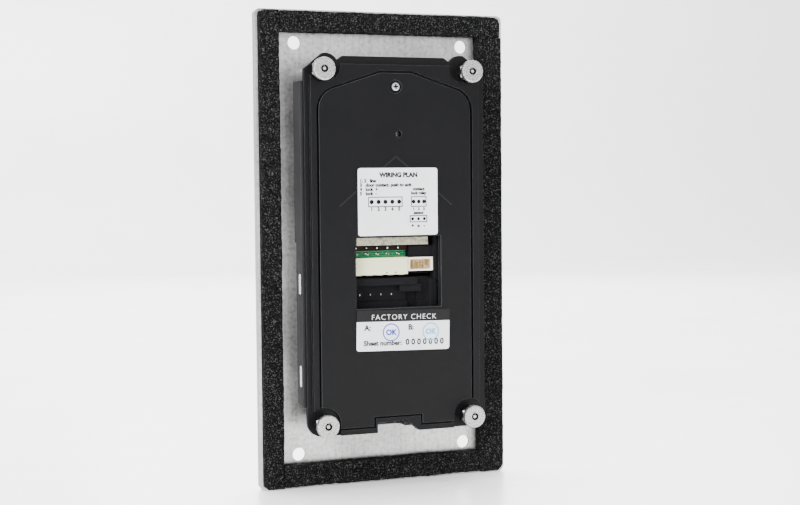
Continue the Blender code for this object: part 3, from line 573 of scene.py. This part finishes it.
def thread_tree():
    """Helical ridge along +Y, copied to each point: a rolled screw thread."""
    tree, source = node_tree("rolled thread", [
        ("Geometry", "Geometry", None), ("Core Radius", "Float", 0.0018),
        ("Pitch", "Float", 0.0007), ("Turns", "Float", 5.0), ("Ridge", "Float", 0.0003)])
    height = add(tree, MATH, {0: source["Pitch"], 1: source["Turns"]}, operation="MULTIPLY")
    helix = add(tree, "GeometryNodeCurveSpiral", {
        "Resolution": 24, "Rotations": source["Turns"], "Start Radius": source["Core Radius"],
        "End Radius": source["Core Radius"], "Height": height})
    profile = add(tree, "GeometryNodeCurvePrimitiveCircle", {
        "Resolution": 4, "Radius": source["Ridge"]})
    ridge = add(tree, "GeometryNodeCurveToMesh", {
        "Curve": helix, "Profile Curve": profile, "Fill Caps": True})
    laid = add(tree, "GeometryNodeTransform", {
        "Geometry": ridge, "Rotation": (-math.pi / 2, 0, 0)})
    placed = add(tree, "GeometryNodeInstanceOnPoints", {
        "Points": source["Geometry"], "Instance": laid})
    return close_tree(tree, placed, source)


def bead_tree():
    """Low dome on each point, flattened along Y and sized at random: solder joints."""
    tree, source = node_tree("solder beads", [
        ("Geometry", "Geometry", None), ("Radius", "Float", 0.0005), ("Height", "Float", 0.5),
        ("Spread", "Float", 0.2)])
    ball = add(tree, "GeometryNodeMeshUVSphere", {
        "Segments": 12, "Rings": 8, "Radius": source["Radius"]})
    flat = add(tree, "ShaderNodeCombineXYZ", {"X": 1.0, "Y": source["Height"], "Z": 1.0})
    low = add(tree, MATH, {0: 1.0, 1: source["Spread"]}, operation="SUBTRACT")
    high = add(tree, MATH, {0: 1.0, 1: source["Spread"]}, operation="ADD")
    chance = add(tree, "FunctionNodeRandomValue", {"Seed": 11, 2: low, 3: high}, 1,
                 data_type="FLOAT")
    size = add(tree, "ShaderNodeVectorMath", {0: flat, "Scale": chance}, operation="SCALE")
    placed = add(tree, "GeometryNodeInstanceOnPoints", {
        "Points": source["Geometry"], "Instance": ball, "Scale": size})
    smooth = add(tree, "GeometryNodeSetShadeSmooth", {"Geometry": placed})
    return close_tree(tree, smooth, source)


def stick_tree():
    """Square pin of a chosen size on each point: header pins and contact blades."""
    tree, source = node_tree("square pins", [
        ("Geometry", "Geometry", None), ("Size", "Vector", (0.0006, 0.003, 0.0006))])
    pin = add(tree, "GeometryNodeMeshCube", {"Size": source["Size"]})
    placed = add(tree, "GeometryNodeInstanceOnPoints", {
        "Points": source["Geometry"], "Instance": pin})
    return close_tree(tree, placed, source)


def gauze_tree():
    """Plain woven gauze in a round patch: two families of fine wires crossing, facing along Y."""
    tree, source = node_tree("woven gauze", [
        ("Radius", "Float", 0.016), ("Wires", "Int", 44), ("Wire Radius", "Float", 0.00008)])
    radius = source["Radius"]
    back = add(tree, MATH, {0: radius, 1: -1.0}, operation="MULTIPLY")
    start = add(tree, "ShaderNodeCombineXYZ", {"X": back})
    end = add(tree, "ShaderNodeCombineXYZ", {"X": radius})
    row = add(tree, "GeometryNodeMeshLine", {
        "Count": source["Wires"], "Start Location": start, "Offset": end}, mode="END_POINTS")
    across = add(tree, "ShaderNodeSeparateXYZ", {0: add(tree, "GeometryNodeInputPosition")}, "X")
    # each wire ends on the circle: half its length is the root of radius squared less x squared
    square = add(tree, MATH, {0: across, 1: across}, operation="MULTIPLY")
    whole = add(tree, MATH, {0: radius, 1: radius}, operation="MULTIPLY")
    left = add(tree, MATH, {0: whole, 1: square}, operation="SUBTRACT")
    held = add(tree, MATH, {0: left, 1: 1e-8}, operation="MAXIMUM")
    half = add(tree, MATH, {0: held}, operation="SQRT")
    length = add(tree, MATH, {0: half, 1: 2.0}, operation="MULTIPLY")
    size = add(tree, "ShaderNodeCombineXYZ", {"X": 1.0, "Y": 1.0, "Z": length})
    rod = add(tree, "GeometryNodeMeshCylinder", {
        "Vertices": 6, "Radius": source["Wire Radius"], "Depth": 1.0}, "Mesh")
    family = add(tree, "GeometryNodeInstanceOnPoints", {
        "Points": row, "Instance": rod, "Scale": size})
    crossed = add(tree, "GeometryNodeTransform", {
        "Geometry": family, "Translation": (0, 0.00012, 0), "Rotation": (0, math.pi / 2, 0)})
    both = add(tree, "GeometryNodeJoinGeometry", {0: family}, None)
    tree.links.new(crossed, both.inputs[0])
    return close_tree(tree, both.outputs[0], source)


THREAD = thread_tree()
BEADS = bead_tree()
STICKS = stick_tree()
GAUZE = gauze_tree()


# ---------------- plate

def tray():
    """Folded tray: the long outer fold is rounder than the laser-cut openings."""
    bm = node_bmesh("front_plate")
    low, high = (Vector(v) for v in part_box("front_plate"))
    fold = []
    for edge in bm.edges:
        on_face = all(abs(v.co.y - low.y) < 0.01 * MM for v in edge.verts)
        outside = all(max(abs(v.co.x) - high.x, abs(v.co.z) - high.z) > -3 * MM
                      for v in edge.verts)
        if on_face and outside:
            fold.append(edge)
    # the street face and the folded sides take darker copies of the sheet's colour: painted shade
    hole_wall_shade, street_face_shaded, side_wall_shaded = 1, 2, 3
    # the walls of the corner holes take near-black steel: painted shade in the sheet's thickness
    corner_hole = Vector((40.7, 93.0)) * MM
    hole_reach, fold_width = 3.3 * MM, 0.9 * MM
    skin_depth = 0.3 * MM
    for face in bm.faces:
        middle = face.calc_center_median()
        reach = (Vector((abs(middle.x), abs(middle.z))) - corner_hole).length
        if abs(face.normal.y) < 0.5 and reach < hole_reach:
            face.material_index = hole_wall_shade
        elif middle.y < low.y + skin_depth:
            face.material_index = street_face_shaded
        elif max(abs(middle.x) - high.x, abs(middle.z) - high.z) > -skin_depth:
            face.material_index = side_wall_shaded
    bmesh.ops.bevel(bm, geom=fold, offset=fold_width, segments=4, profile=0.5, affect="EDGES",
                    clamp_overlap=True)
    keep("front_plate_finished", bevelled(bm, 0.16, 2), STEEL, ("front_plate",),
         (STEEL_HOLE_SHADE, STEEL_FACE_SHADED, STEEL_SIDE_SHADED))


def swell(name, place, y_mm):
    """Where it stands above the rim, the foam spreads outwards over the rim's edge."""
    low, high = (Vector(v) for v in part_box(name))
    rim_y, rise, most, reach = -1.25, 0.5, 0.95, 9.0 * MM
    above = min(max((y_mm - rim_y) / rise, 0.0), 1.0)
    spread = most * above * above * (3 - 2 * above) * MM
    up = max(0.0, 1 - (high.z - place.z) / reach) - max(0.0, 1 - (place.z - low.z) / reach)
    if name == "gasket_right":
        return Vector((0, 0, spread * up))
    if name == "gasket_top":
        return Vector((0, 0, spread * max(0.0, (place.z - low.z) / (high.z - low.z) * 2 - 1)))
    if name == "gasket_bottom":
        return Vector((0, 0, -spread * max(0.0, (high.z - place.z) / (high.z - low.z) * 2 - 1)))
    outwards = max(0.0, (high.x - place.x) / (high.x - low.x) * 2 - 1)
    return Vector((-spread * outwards, 0, spread * min(up, 0.0)))


def foam_strip(name):
    """Cut strip of expanded rubber: slightly wavy, rounded at its cut edges and pitted all over."""
    low, high = (Vector(v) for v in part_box(name))
    obj = linked("work", as_mesh(node_bmesh(name)))
    remesh = obj.modifiers.new("remesh", "REMESH")
    remesh.mode = "VOXEL"
    remesh.voxel_size = 0.42 * MM
    soften = obj.modifiers.new("soften", "SMOOTH")
    soften.factor = 0.6
    soften.iterations = 3
    mesh = evaluated(obj)
    bm = bmesh.new()
    bm.from_mesh(mesh)
    bm.normal_update()
    cell_mm, pit_radius, pit_depth = 0.95, 0.42, 0.8
    waves = ((14.0, 0.25), (2.2, 0.2))
    for vert in bm.verts:
        spot = vert.co / MM
        cell = noise.voronoi(spot / cell_mm)[0][0]
        pit = max(0.0, pit_radius - cell) * pit_depth
        ripple = sum(noise.noise(spot / length) * height for length, height in waves)
        vert.co += vert.normal * (ripple - pit) * MM
        vert.co += swell(name, vert.co, spot.y)
    along = 0 if name in ("gasket_top", "gasket_bottom") else 2
    end_zone, end_swell = 0.8 * MM, 0.24 * MM
    spare_mm = (1.3, 0.25, 1.3)
    for vert in bm.verts:
        if high[along] - vert.co[along] < end_zone:
            vert.co[along] += end_swell
        elif vert.co[along] - low[along] < end_zone:
            vert.co[along] -= end_swell
        for axis in range(3):
            spare = spare_mm[axis] * MM
            floor, roof = low[axis] - spare, high[axis] + spare
            vert.co[axis] = min(max(vert.co[axis], floor), roof)
    bm.to_mesh(mesh)
    bm.free()
    mesh.shade_smooth()
    piece = keep(name + "_finished", mesh, FOAM, (name,))


def fixings():
    """Studs with their threads, chamfered hexagon nuts and faced round nuts."""
    ends = []
    for number in range(1, 5):
        middle = centre_of(f"round_nut_{number}")
        low, high = corners(f"ear_nut_{number}")
        ends.append((middle.x, high.y + 0.1, middle.z))
        hex_nut(number, middle, low, high)
        round_nut(number, middle)
        stud(number, middle)
    pitch = 0.5
    turns = (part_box("round_nut_1")[0][1] / MM + 0.2 - ends[0][1]) / pitch
    values = {"Core Radius": 0.00145, "Pitch": pitch * MM, "Turns": turns, "Ridge": 0.00018}
    keep("stud_threads", grow(THREAD, ZINC, values, ends), ZINC)


def stud(number, middle):
    """Plain shank from the plate with a narrower, centre-drilled point inside the round nut."""
    low, high = corners(f"plate_stud_{number}")
    foot = (high.x - low.x) / 2
    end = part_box(f"round_nut_{number}")[1][1] / MM - 0.4
    bm = bmesh.new()
    shank, point, drill = 1.5, 0.85, 0.3
    add_ring(bm, (middle.x, middle.z), [
        (0.02, low.y), (foot, low.y), (foot, low.y + 0.8), (shank, low.y + 1.0),
        (shank, end - 1.9), (point, end - 1.6), (point, end - 0.2), (0.7, end), (drill, end),
        (0.02, end - drill)], 32)
    keep(f"plate_stud_{number}_finished", mesh_from(bm, True, 30), ZINC,
         (f"plate_stud_{number}",))


def hex_nut(number, middle, low, high):
    """Hexagon nut whose corners are cut back by a cone at each end."""
    flats = min(high.x - low.x, high.z - low.z)
    corner = flats / math.sqrt(3)
    sixth = math.radians(60)
    bore, chamfer, sides = 1.6, 0.5, 72

    def hexagon(angle):
        within = (angle - sixth / 2) % sixth - sixth / 2
        return corner * math.cos(sixth / 2) / math.cos(within)

    bm = bmesh.new()
    add_ring(bm, (middle.x, middle.z), [
        (bore, low.y), (flats / 2 - 0.1, low.y), (hexagon, low.y + chamfer),
        (hexagon, high.y - chamfer), (flats / 2 - 0.1, high.y), (bore, high.y)], sides)
    keep(f"ear_nut_{number}_finished", mesh_from(bm, True, 24), NUT_STEEL,
         (f"ear_nut_{number}",))


def round_nut(number, middle):
    """Faced round nut: broad chamfer, shallow step near the rim and a countersunk bore."""
    low, high = corners(f"round_nut_{number}")
    outer = (high.x - low.x) / 2
    rear, front, bore, shoulder = high.y, low.y, 1.6, 0.12
    bm = bmesh.new()
    add_ring(bm, (middle.x, middle.z), [
        (bore, front), (outer - 0.5, front), (outer - shoulder, front + shoulder),
        (outer, front + 0.5), (outer, rear - 0.55), (outer - shoulder, rear - 0.22),
        (outer - 0.6, rear - 0.02), (outer - 0.75, rear), (outer - 0.95, rear - 0.06),
        (bore + 0.15, rear - 0.06), (bore + 0.06, rear - 0.12), (bore, rear - 1.8)], 64)
    mesh = mesh_from(bm, True, 28)
    radii = mesh.attributes.new("radius_mm", "FLOAT", "POINT")
    # 0 inside the bore, where the colour is painted near black as shade
    shades = mesh.attributes.new("bore_painted_shade", "FLOAT", "POINT")
    for vert in mesh.vertices:
        flat = Vector((vert.co.x, vert.co.z)) / MM - Vector((middle.x, middle.z))
        radii.data[vert.index].value = flat.length + vert.co.y / MM * 0.3
        shades.data[vert.index].value = 1.0 if flat.length > bore + 0.1 else 0.0
    keep(f"round_nut_{number}_finished", mesh, NICKEL, (f"round_nut_{number}",))


# ---------------- housing

def housing():
    # front shell in a lighter copy of the black ABS: painted light on its lit side
    rounded_node("front_shell", 0.3, ABS_SIDE_LIT)
    # rounded edges of the rear shell in a grey ABS: painted highlight
    rounded_node("rear_shell", 0.26, ABS, edge=ABS_EDGE_HIGHLIGHT)
    cover = node_bmesh("rear_cover")
    low, high = corners("terminal_block")
    # the walls of the cover's opening take the dull dark nylon instead of the cover's ABS: painted
    # shade in the well
    shaded_opening_wall = 2
    for face in cover.faces:
        spot = face.calc_center_median() / MM
        in_opening = abs(spot.x) < 23 and low.z - 18 < spot.z < high.z + 12
        if in_opening and abs(face.normal.y) < 0.3:
            face.material_index = shaded_opening_wall
    # rounded edges of the cover in a grey ABS: painted highlight
    keep("rear_cover_finished", bevelled(cover, 0.24, edge=ABS_EDGE_HIGHLIGHT), ABS,
         ("rear_cover",), (ABS_EDGE_HIGHLIGHT, NYLON))
    notch_tabs()
    # the screw's rounded edges in the dark recess colour: painted shade
    rounded_node("cover_screw", 0.06, ZINC, edge=RECESS_SHADE)
    rounded_node("cable_grommet", 0.25, RUBBER)
    cover_arrow()
    cross_recess()


def cover_arrow():
    """Lines of a direction arrow, raised a hair above the cover, a little lighter than the cover:
    painted light.
    """
    rear = corners("rear_cover")[1].y
    line_height, line_width = 0.24, 0.6
    bm = bmesh.new()
    for sign in (-1, 1):
        for low, high in (((0.0, 41.6), (12.5, 31.6)), ((19.2, 26.2), (27.0, 19.6))):
            bar = bmesh.ops.create_cube(bm, size=1.0)["verts"]
            a = Vector((sign * low[0], 0, low[1]))
            b = Vector((sign * high[0], 0, high[1]))
            length = (b - a).length
            angle = math.atan2(b.z - a.z, b.x - a.x)
            place = (Matrix.Translation(((a + b) / 2 + Vector((0, rear - 0.02, 0))) * MM)
                     @ Matrix.Rotation(-angle, 4, "Y")
                     @ Matrix.Diagonal((length * MM, line_height * MM, line_width * MM, 1)))
            bmesh.ops.transform(bm, matrix=place, verts=bar)
    keep("cover_arrow", mesh_from(bm, False), RAISED_LINE_LIT)


def notch_tabs():
    """Two half-round tabs under the top of the cable notch, which the sheath is tied to."""
    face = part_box("rear_shell")[1][1] / MM
    bm = bmesh.new()
    root, steps = -77.2, 8
    for start, end in ((2.5, 6.4), (-1.1, 1.6)):
        outline = [(end, root), (start, root)]
        for i in range(steps + 1):
            angle = math.pi * i / steps
            outline.append(((start + end) / 2 - (end - start) / 2 * math.cos(angle),
                            root - 0.3 - 1.05 * math.sin(angle)))
        near = [bm.verts.new(Vector((x, face - 2.6, z)) * MM) for x, z in outline]
        far = [bm.verts.new(Vector((x, face - 0.2, z)) * MM) for x, z in outline]
        bm.faces.new(near)
        bm.faces.new(far)
        skin(bm, near, far)
    keep("notch_tabs", mesh_from(bm, True, 30), ABS)


def cross_recess():
    """Painted shade: on the floor of the screw's cross recess, and a dark ring round its head."""
    low, high = corners("cover_screw")
    middle = (low + high) / 2
    bm = bmesh.new()
    for across, up in ((1.15, 0.3), (0.3, 1.15)):
        add_box(bm, (middle.x - across, high.y - 0.3, middle.z - up),
                (middle.x + across, high.y + 0.015, middle.z + up))
    keep("cover_screw_cross_shade", mesh_from(bm, False), RECESS_SHADE)
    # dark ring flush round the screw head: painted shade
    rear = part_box("rear_cover")[1][1] / MM
    bm = bmesh.new()
    add_ring(bm, (middle.x, middle.z), [(1.8, rear - 0.3), (2.5, rear - 0.3), (2.5, rear + 0.015),
                                        (1.8, rear + 0.015)], 40)
    keep("cover_screw_shade_ring", mesh_from(bm, False), NYLON)


# ---------------- labels

def labels():
    rounded_node("wiring_label", 0.03, PAPER, segments=1)
    rounded_node("inspection_label", 0.03, PAPER, segments=1)
    wiring_print()
    inspection_print()


def wiring_print():
    """Heading, four captions and three framed rows of numbered terminals."""
    high = corners("wiring_label")[1]
    top, left = high.y + PRINT_RISE, high.x
    ink = [lettering("WIRING PLAN", 2.85, left - 19.4, top, high.z - 3.2, bold=0.17)]
    lines = ("1, 2   line", "3   door contact, push to exit", "4   lock  +", "5   lock  -")
    for i, words in enumerate(lines):
        ink.append(lettering(words, 2.05, left - 0.9, top, high.z - 5.7 - 1.9 * i, "LEFT", 0.12))
    for words, size, drop in (("contact\nlock relay", 1.85, 10.4), ("sensor", 1.8, 20.2)):
        ink.append(lettering(words, size, left - 29.0, top, high.z - drop, bold=0.12))
    bm = bmesh.new()
    line = 0.4
    for x, z, width, height, signs, size, gap, bold, dot in (
            (left - 4.8, high.z - 12.8, 16.4, 4.6, "12345", 2.1, 1.0, 0.12, 1.0),
            (left - 25.3, high.z - 12.8, 7.5, 4.7, "123", 1.6, 1.0, 0.12, 0.9),
            (left - 24.6, high.z - 21.3, 8.5, 3.2, "+o-", 2.0, 1.5, 0.16, 0.72)):
        for low_x, low_z, high_x, high_z in (
                (x - width, z - line, x, z),
                (x - width, z - height, x, z - height + line),
                (x - line, z - height, x, z),
                (x - width, z - height, x - width + line, z)):
            add_box(bm, (low_x, top - 0.01, low_z), (high_x, top + PRINT_RISE, high_z))
        for i, sign in enumerate(signs):
            spot = (x - width * (i + 0.5) / len(signs), z - height / 2)
            add_ring(bm, spot, [(0.001, top - 0.01), (dot, top - 0.01), (dot, top + PRINT_RISE),
                                (0.001, top + PRINT_RISE)], 20)
            ink.append(lettering(sign, size, spot[0], top, z - height - gap, bold=bold))
    ink.append(mesh_from(bm, False))
    keep("wiring_print", joined(ink), INK)


def inspection_print():
    """Dark header with white capitals, two captions with round stamps and one line below."""
    low, high = corners("inspection_label")
    top = high.y + PRINT_RISE
    tilt = math.radians(1.1)
    middle = Vector(((low.x + high.x) / 2, (low.z + high.z) / 2))

    def at(across, up):
        """Place on the label: across from its left end as read, up from its middle."""
        x, z = 22.4 - across, up
        return (middle.x + x * math.cos(tilt) - z * math.sin(tilt),
                middle.y + x * math.sin(tilt) + z * math.cos(tilt))

    bm = bmesh.new()
    outline = [at(-0.05, 9.2), at(44.85, 9.2), at(44.85, 4.0), at(-0.05, 4.0)]
    near, far = [[bm.verts.new(Vector((x, y, z)) * MM) for x, z in outline]
                 for y in (top - 0.008, top + 0.008)]
    bm.faces.new(near)
    bm.faces.new(reversed(far))
    skin(bm, far, near)
    keep("inspection_band", mesh_from(bm, False), BAND)

    def word(text, size, across, up, align="CENTER", bold=0.0, lift=0.0, spacing=1.0):
        x, z = at(across, up)
        return lettering(text, size, x, top + lift, z, align, bold, -tilt, spacing)

    title = word("FACTORY CHECK", 3.4, 22.6, 5.9, bold=-0.06, lift=0.02, spacing=1.2)
    keep("inspection_title", title, KNOCKOUT)
    captions = [word(text, size, across, up, "LEFT", bold) for text, size, across, up, bold in (
        ("A:", 3.4, 3.6, 1.2, 0.13), ("B:", 3.4, 24.6, 1.2, 0.13),
        ("Sheet number:", 3.1, 3.3, -5.7, 0.12), ("0 0 0 0 0 0 0", 3.6, 23.4, -5.5, 0.14))]
    keep("inspection_captions", joined(captions), INK)
    for name, across, mat in (("blue", 16.4, BLUE_INK), ("cyan", 35.6, CYAN_INK)):
        bm = bmesh.new()
        add_ring(bm, at(across, -0.9), [(3.55, top + 0.02), (4.05, top + 0.02),
                                        (4.05, top + 0.035), (3.55, top + 0.035)], 48)
        stamp = word("OK", 3.4, across, -1.0, bold=0.14, lift=0.03)
        keep(f"stamp_{name}", joined([mesh_from(bm, False), stamp]), mat)


# ---------------- electronics

def electronics():
    for name, width, mat, slot in (
            ("terminal_block", 0.18, CREAM, "cream"), ("sensor_connector", 0.14, WHITE, "cream"),
            ("shield_bar", 0.15, TIN, "zinc"), ("pin_header", 0.08, MAROON, "dark"),
            ("cable_tray", 0.2, NYLON, "dark"), ("main_board", 0.08, BOARD, "board"),
            ("camera_board", 0.08, BLACK_BOARD, "board"),
            ("led_board", 0.08, BLACK_BOARD, "board")):
        rounded_node(name, width, mat)
    block = corners("terminal_block")
    header = corners("pin_header")
    board = corners("main_board")
    pitch = (block[1].x - block[0].x) / 5
    solder_joints(block, header, board, pitch)
    contacts(block, pitch)
    # dark sheets over parts of the board: painted shade
    board_tape(block, header, board)
    # two small dark discs on the terminal block: painted shade in its holes
    bm = bmesh.new()
    rear = block[1].y
    for x in (3.3, -1.0):
        add_ring(bm, (x, block[0].z + 0.9), [(0.02, rear - 0.3), (0.36, rear - 0.3),
                                             (0.36, rear + 0.015), (0.02, rear + 0.015)], 12)
    keep("block_hole_shade", mesh_from(bm, False), RECESS_SHADE)


def solder_joints(block, header, board, pitch):
    """Solder on the header's posts, and the small joints on the board below the shield bar."""
    posts = [(header[1].x - 1.82 - pitch * i, header[1].y + 0.05, 0.6) for i in range(5)]
    marks = [(block[1].x - across - pitch * i, board[1].y + 0.05, up)
             for i in range(5) for across, up in ((1.9, -2.1), (2.9, -2.5))]
    for name, radius, height, points in (("header_joints", 0.00042, 0.8, posts),
                                         ("board_joints", 0.00045, 0.6, marks)):
        values = {"Radius": radius, "Height": height, "Spread": 0.4}
        keep(name, grow(BEADS, SOLDER, values, points), SOLDER)


def contacts(block, pitch):
    """Clamps in the terminal cells, blades in the sensor plug and pins in the cable tray."""
    clamps = [(block[0].x + pitch * (i + 0.5), 7.6, -10.4) for i in range(5)]
    plug_low, plug_high = corners("sensor_connector")
    blades = []
    rng = random.Random(5)
    plug_pitch = 2.5
    for i in range(4):
        x = plug_low.x + 2.4 + plug_pitch * i
        for step, lift in ((0.0, 0.0), (0.6, 0.4), (-0.55, 0.8)):
            blades.append((x + step + rng.uniform(-0.25, 0.25), plug_high.y - 0.9 - lift,
                           -7.15 + rng.uniform(-0.9, 0.9)))
    tray_floor = 7.0
    tips = [(15.1 - pitch * i, tray_floor + 0.3, -20.6) for i in range(4)]
    for name, size, mat, points in (
            ("terminal_clamps", (0.0026, 0.0026, 0.003), TIN, clamps),
            ("sensor_blades", (0.00042, 0.0009, 0.0026), BRASS, blades),
            ("tray_pins", (0.00035, 0.0006, 0.0008), TIN, tips)):
        keep(name, grow(STICKS, mat, {"Size": size}, points), mat)


def board_tape(block, header, board):
    """Dark sheets on the board round the header and the terminal block: painted shade."""
    bm = bmesh.new()
    edge, roof = board[0].x, 9.0
    for low_x, high_x, low_z, high_z in (
            (edge, header[0].x - 0.1, block[0].z - 1.2, roof),
            (edge, block[1].x, block[0].z - 2.5, block[0].z - 0.1),
            (edge, header[1].x + 2.0, header[1].z + 0.1, roof),
            (edge, edge + 4.0, -30.0, roof)):
        add_box(bm, (low_x, board[1].y + 0.02, low_z), (high_x, board[1].y + 0.14, high_z))
    keep("board_tape", mesh_from(bm, False), NYLON)


# ---------------- sound, camera and buttons

def sound():
    rounded_node("speaker_basket", 0.2, TIN)
    rounded_node("speaker_cone", 0.08, PULP)
    rounded_node("speaker_magnet", 0.3, FERRITE)
    rounded_node("microphone_boot", 0.3, RUBBER)
    rounded_node("microphone", 0.15, ZINC)
    middle = centre_of("speaker_magnet")
    mesh = grow(GAUZE, ZINC, {"Radius": 0.0172, "Wires": 52, "Wire Radius": 0.00007})
    mesh.transform(Matrix.Translation(Vector((middle.x, -3.14, middle.z)) * MM))
    keep("speaker_gauze", mesh, ZINC)


def camera_unit():
    for name, width, mat, body, slot in (
            ("camera_window", 0.2, SMOKED, BASE, "tinted"),
            ("camera_bracket", 0.3, NYLON, BASE, "dark"),
            ("camera_yoke", 0.25, NYLON, "camera_yoke", "dark"),
            ("camera_head", 0.3, NYLON, "camera_head", "dark"),
            ("lens_barrel", 0.15, NUT_STEEL, "camera_head", "dark"),
            ("lens_glass", 0.05, GLASS, "camera_head", "lens"),
            ("ir_led_1", 0.06, CLEAR, BASE, "clear"),
            ("ir_led_2", 0.06, CLEAR, BASE, "clear"),
            ("trimmer_body", 0.12, CREAM, BASE, "cream"),
            ("trimmer_rotor", 0.08, NUT_STEEL, "trimmer_rotor", "zinc")):
        rounded_node(name, width, mat, body)


def call_points():
    for number in (1, 2):
        card_low, card_high = corners(f"name_card_{number}")
        digit = lettering(str(number), 5.0, card_low.x + 4.0, card_low.y - 0.02,
                          (card_low.z + card_high.z) / 2, turned=0)
        rule = bmesh.new()
        add_box(rule, (card_low.x + 8.0, card_low.y - 0.03, card_low.z + 1.8),
                (card_high.x - 2.5, card_low.y + 0.01, card_low.z + 2.05))
        keep(f"card_print_{number}", joined([digit, mesh_from(rule, False)]), INK)
        button = f"call_button_{number}"
        rounded_node(button, 0.12, STEEL_BUTTON, button, 3)
        for name, width, mat, slot in (("button_boot", 0.25, RUBBER, "rubber"),
                                       ("tact_switch", 0.15, NYLON, "dark"),
                                       ("name_window", 0.15, CLEAR, "clear"),
                                       ("name_card", 0.03, PAPER, "paper"),
                                       ("light_guide", 0.25, FROSTED_GLINT, "clear")):
            rounded_node(f"{name}_{number}", width, mat)


# ---------------- studio

def studio():
    """Floor that bends up into a backdrop, soft daylight and five square lights."""
    floor_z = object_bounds()[0][2]
    bm = bmesh.new()
    bend_start, bend_radius, steps = 1.6, 0.5, 12
    path = [(-2.2, 0.0), (bend_start, 0.0)]
    for i in range(1, steps + 1):
        angle = math.radians(90 * i / steps)
        path.append((bend_start + bend_radius * math.sin(angle),
                     bend_radius - bend_radius * math.cos(angle)))
    path.append((bend_start + bend_radius, 2.4))
    rows = []
    for along, up in path:
        rows.append([bm.verts.new((x, -along, floor_z + up)) for x in (-3.5, 3.5)])
    for a, b in zip(rows, rows[1:]):
        bm.faces.new((a[0], a[1], b[1], b[0]))
    mesh = mesh_from(bm, True, 60)
    paint = plain("studio floor, painted", 90.0, 4.0, [(0.3, "FAFAFA"), (0.7, "FDFDFD")],
                  (0.22, 0.3), IOR=1.45)
    mesh.materials.append(paint)
    linked("studio_floor", mesh)

    world = bpy.data.worlds.new("studio air")
    world.use_nodes = True
    sky = world.node_tree.nodes["Background"]
    sky.inputs["Color"].default_value = linear("FBFCFF")
    sky.inputs["Strength"].default_value = 1.7
    bpy.context.scene.world = world

    for name, place, target, size, power in (
            ("key", (0.95, 0.75, 0.6), (0, 0, 0), 0.5, 24.0),
            ("side", (1.1, 0.25, 0.15), (0, 0, 0), 0.5, 10.0),
            ("top", (-0.2, 0.15, 1.2), (0, 0, 0), 0.8, 11.0),
            ("front", (-0.5, -1.1, 0.6), (0, 0, 0), 1.0, 15.0),
            ("backdrop", (0.0, -0.5, 1.7), (0, -2.1, 0.5), 1.4, 120.0)):
        light = bpy.data.lights.new(name, "AREA")
        light.shape = "SQUARE"
        light.size = size
        light.energy = power
        lamp = linked(name, light)
        lamp.location = place
        aim = Vector(target) - Vector(place)
        lamp.rotation_euler = aim.to_track_quat("-Z", "Y").to_euler()


def camera_position():
    """Camera a little above the middle, behind and to the side of the panel."""
    lens = bpy.data.cameras.new("camera")
    lens.sensor_width = 36.0
    lens.lens = 67.5
    cam = linked("camera", lens)
    right = Vector((-0.93073, 0.36558, -0.00889))
    up = Vector((-0.02587, -0.04157, 0.99880))
    back = Vector((0.36478, 0.92985, 0.04815))
    turn = Matrix((right, up, back)).transposed().to_4x4()
    cam.matrix_world = Matrix.Translation((0.2443, 0.6418, 0.031)) @ turn
    bpy.context.scene.camera = cam


tray()
for side in ("top", "bottom", "left", "right"):
    foam_strip("gasket_" + side)
fixings()
housing()
labels()
electronics()
sound()
camera_unit()
call_points()
studio()
camera_position()
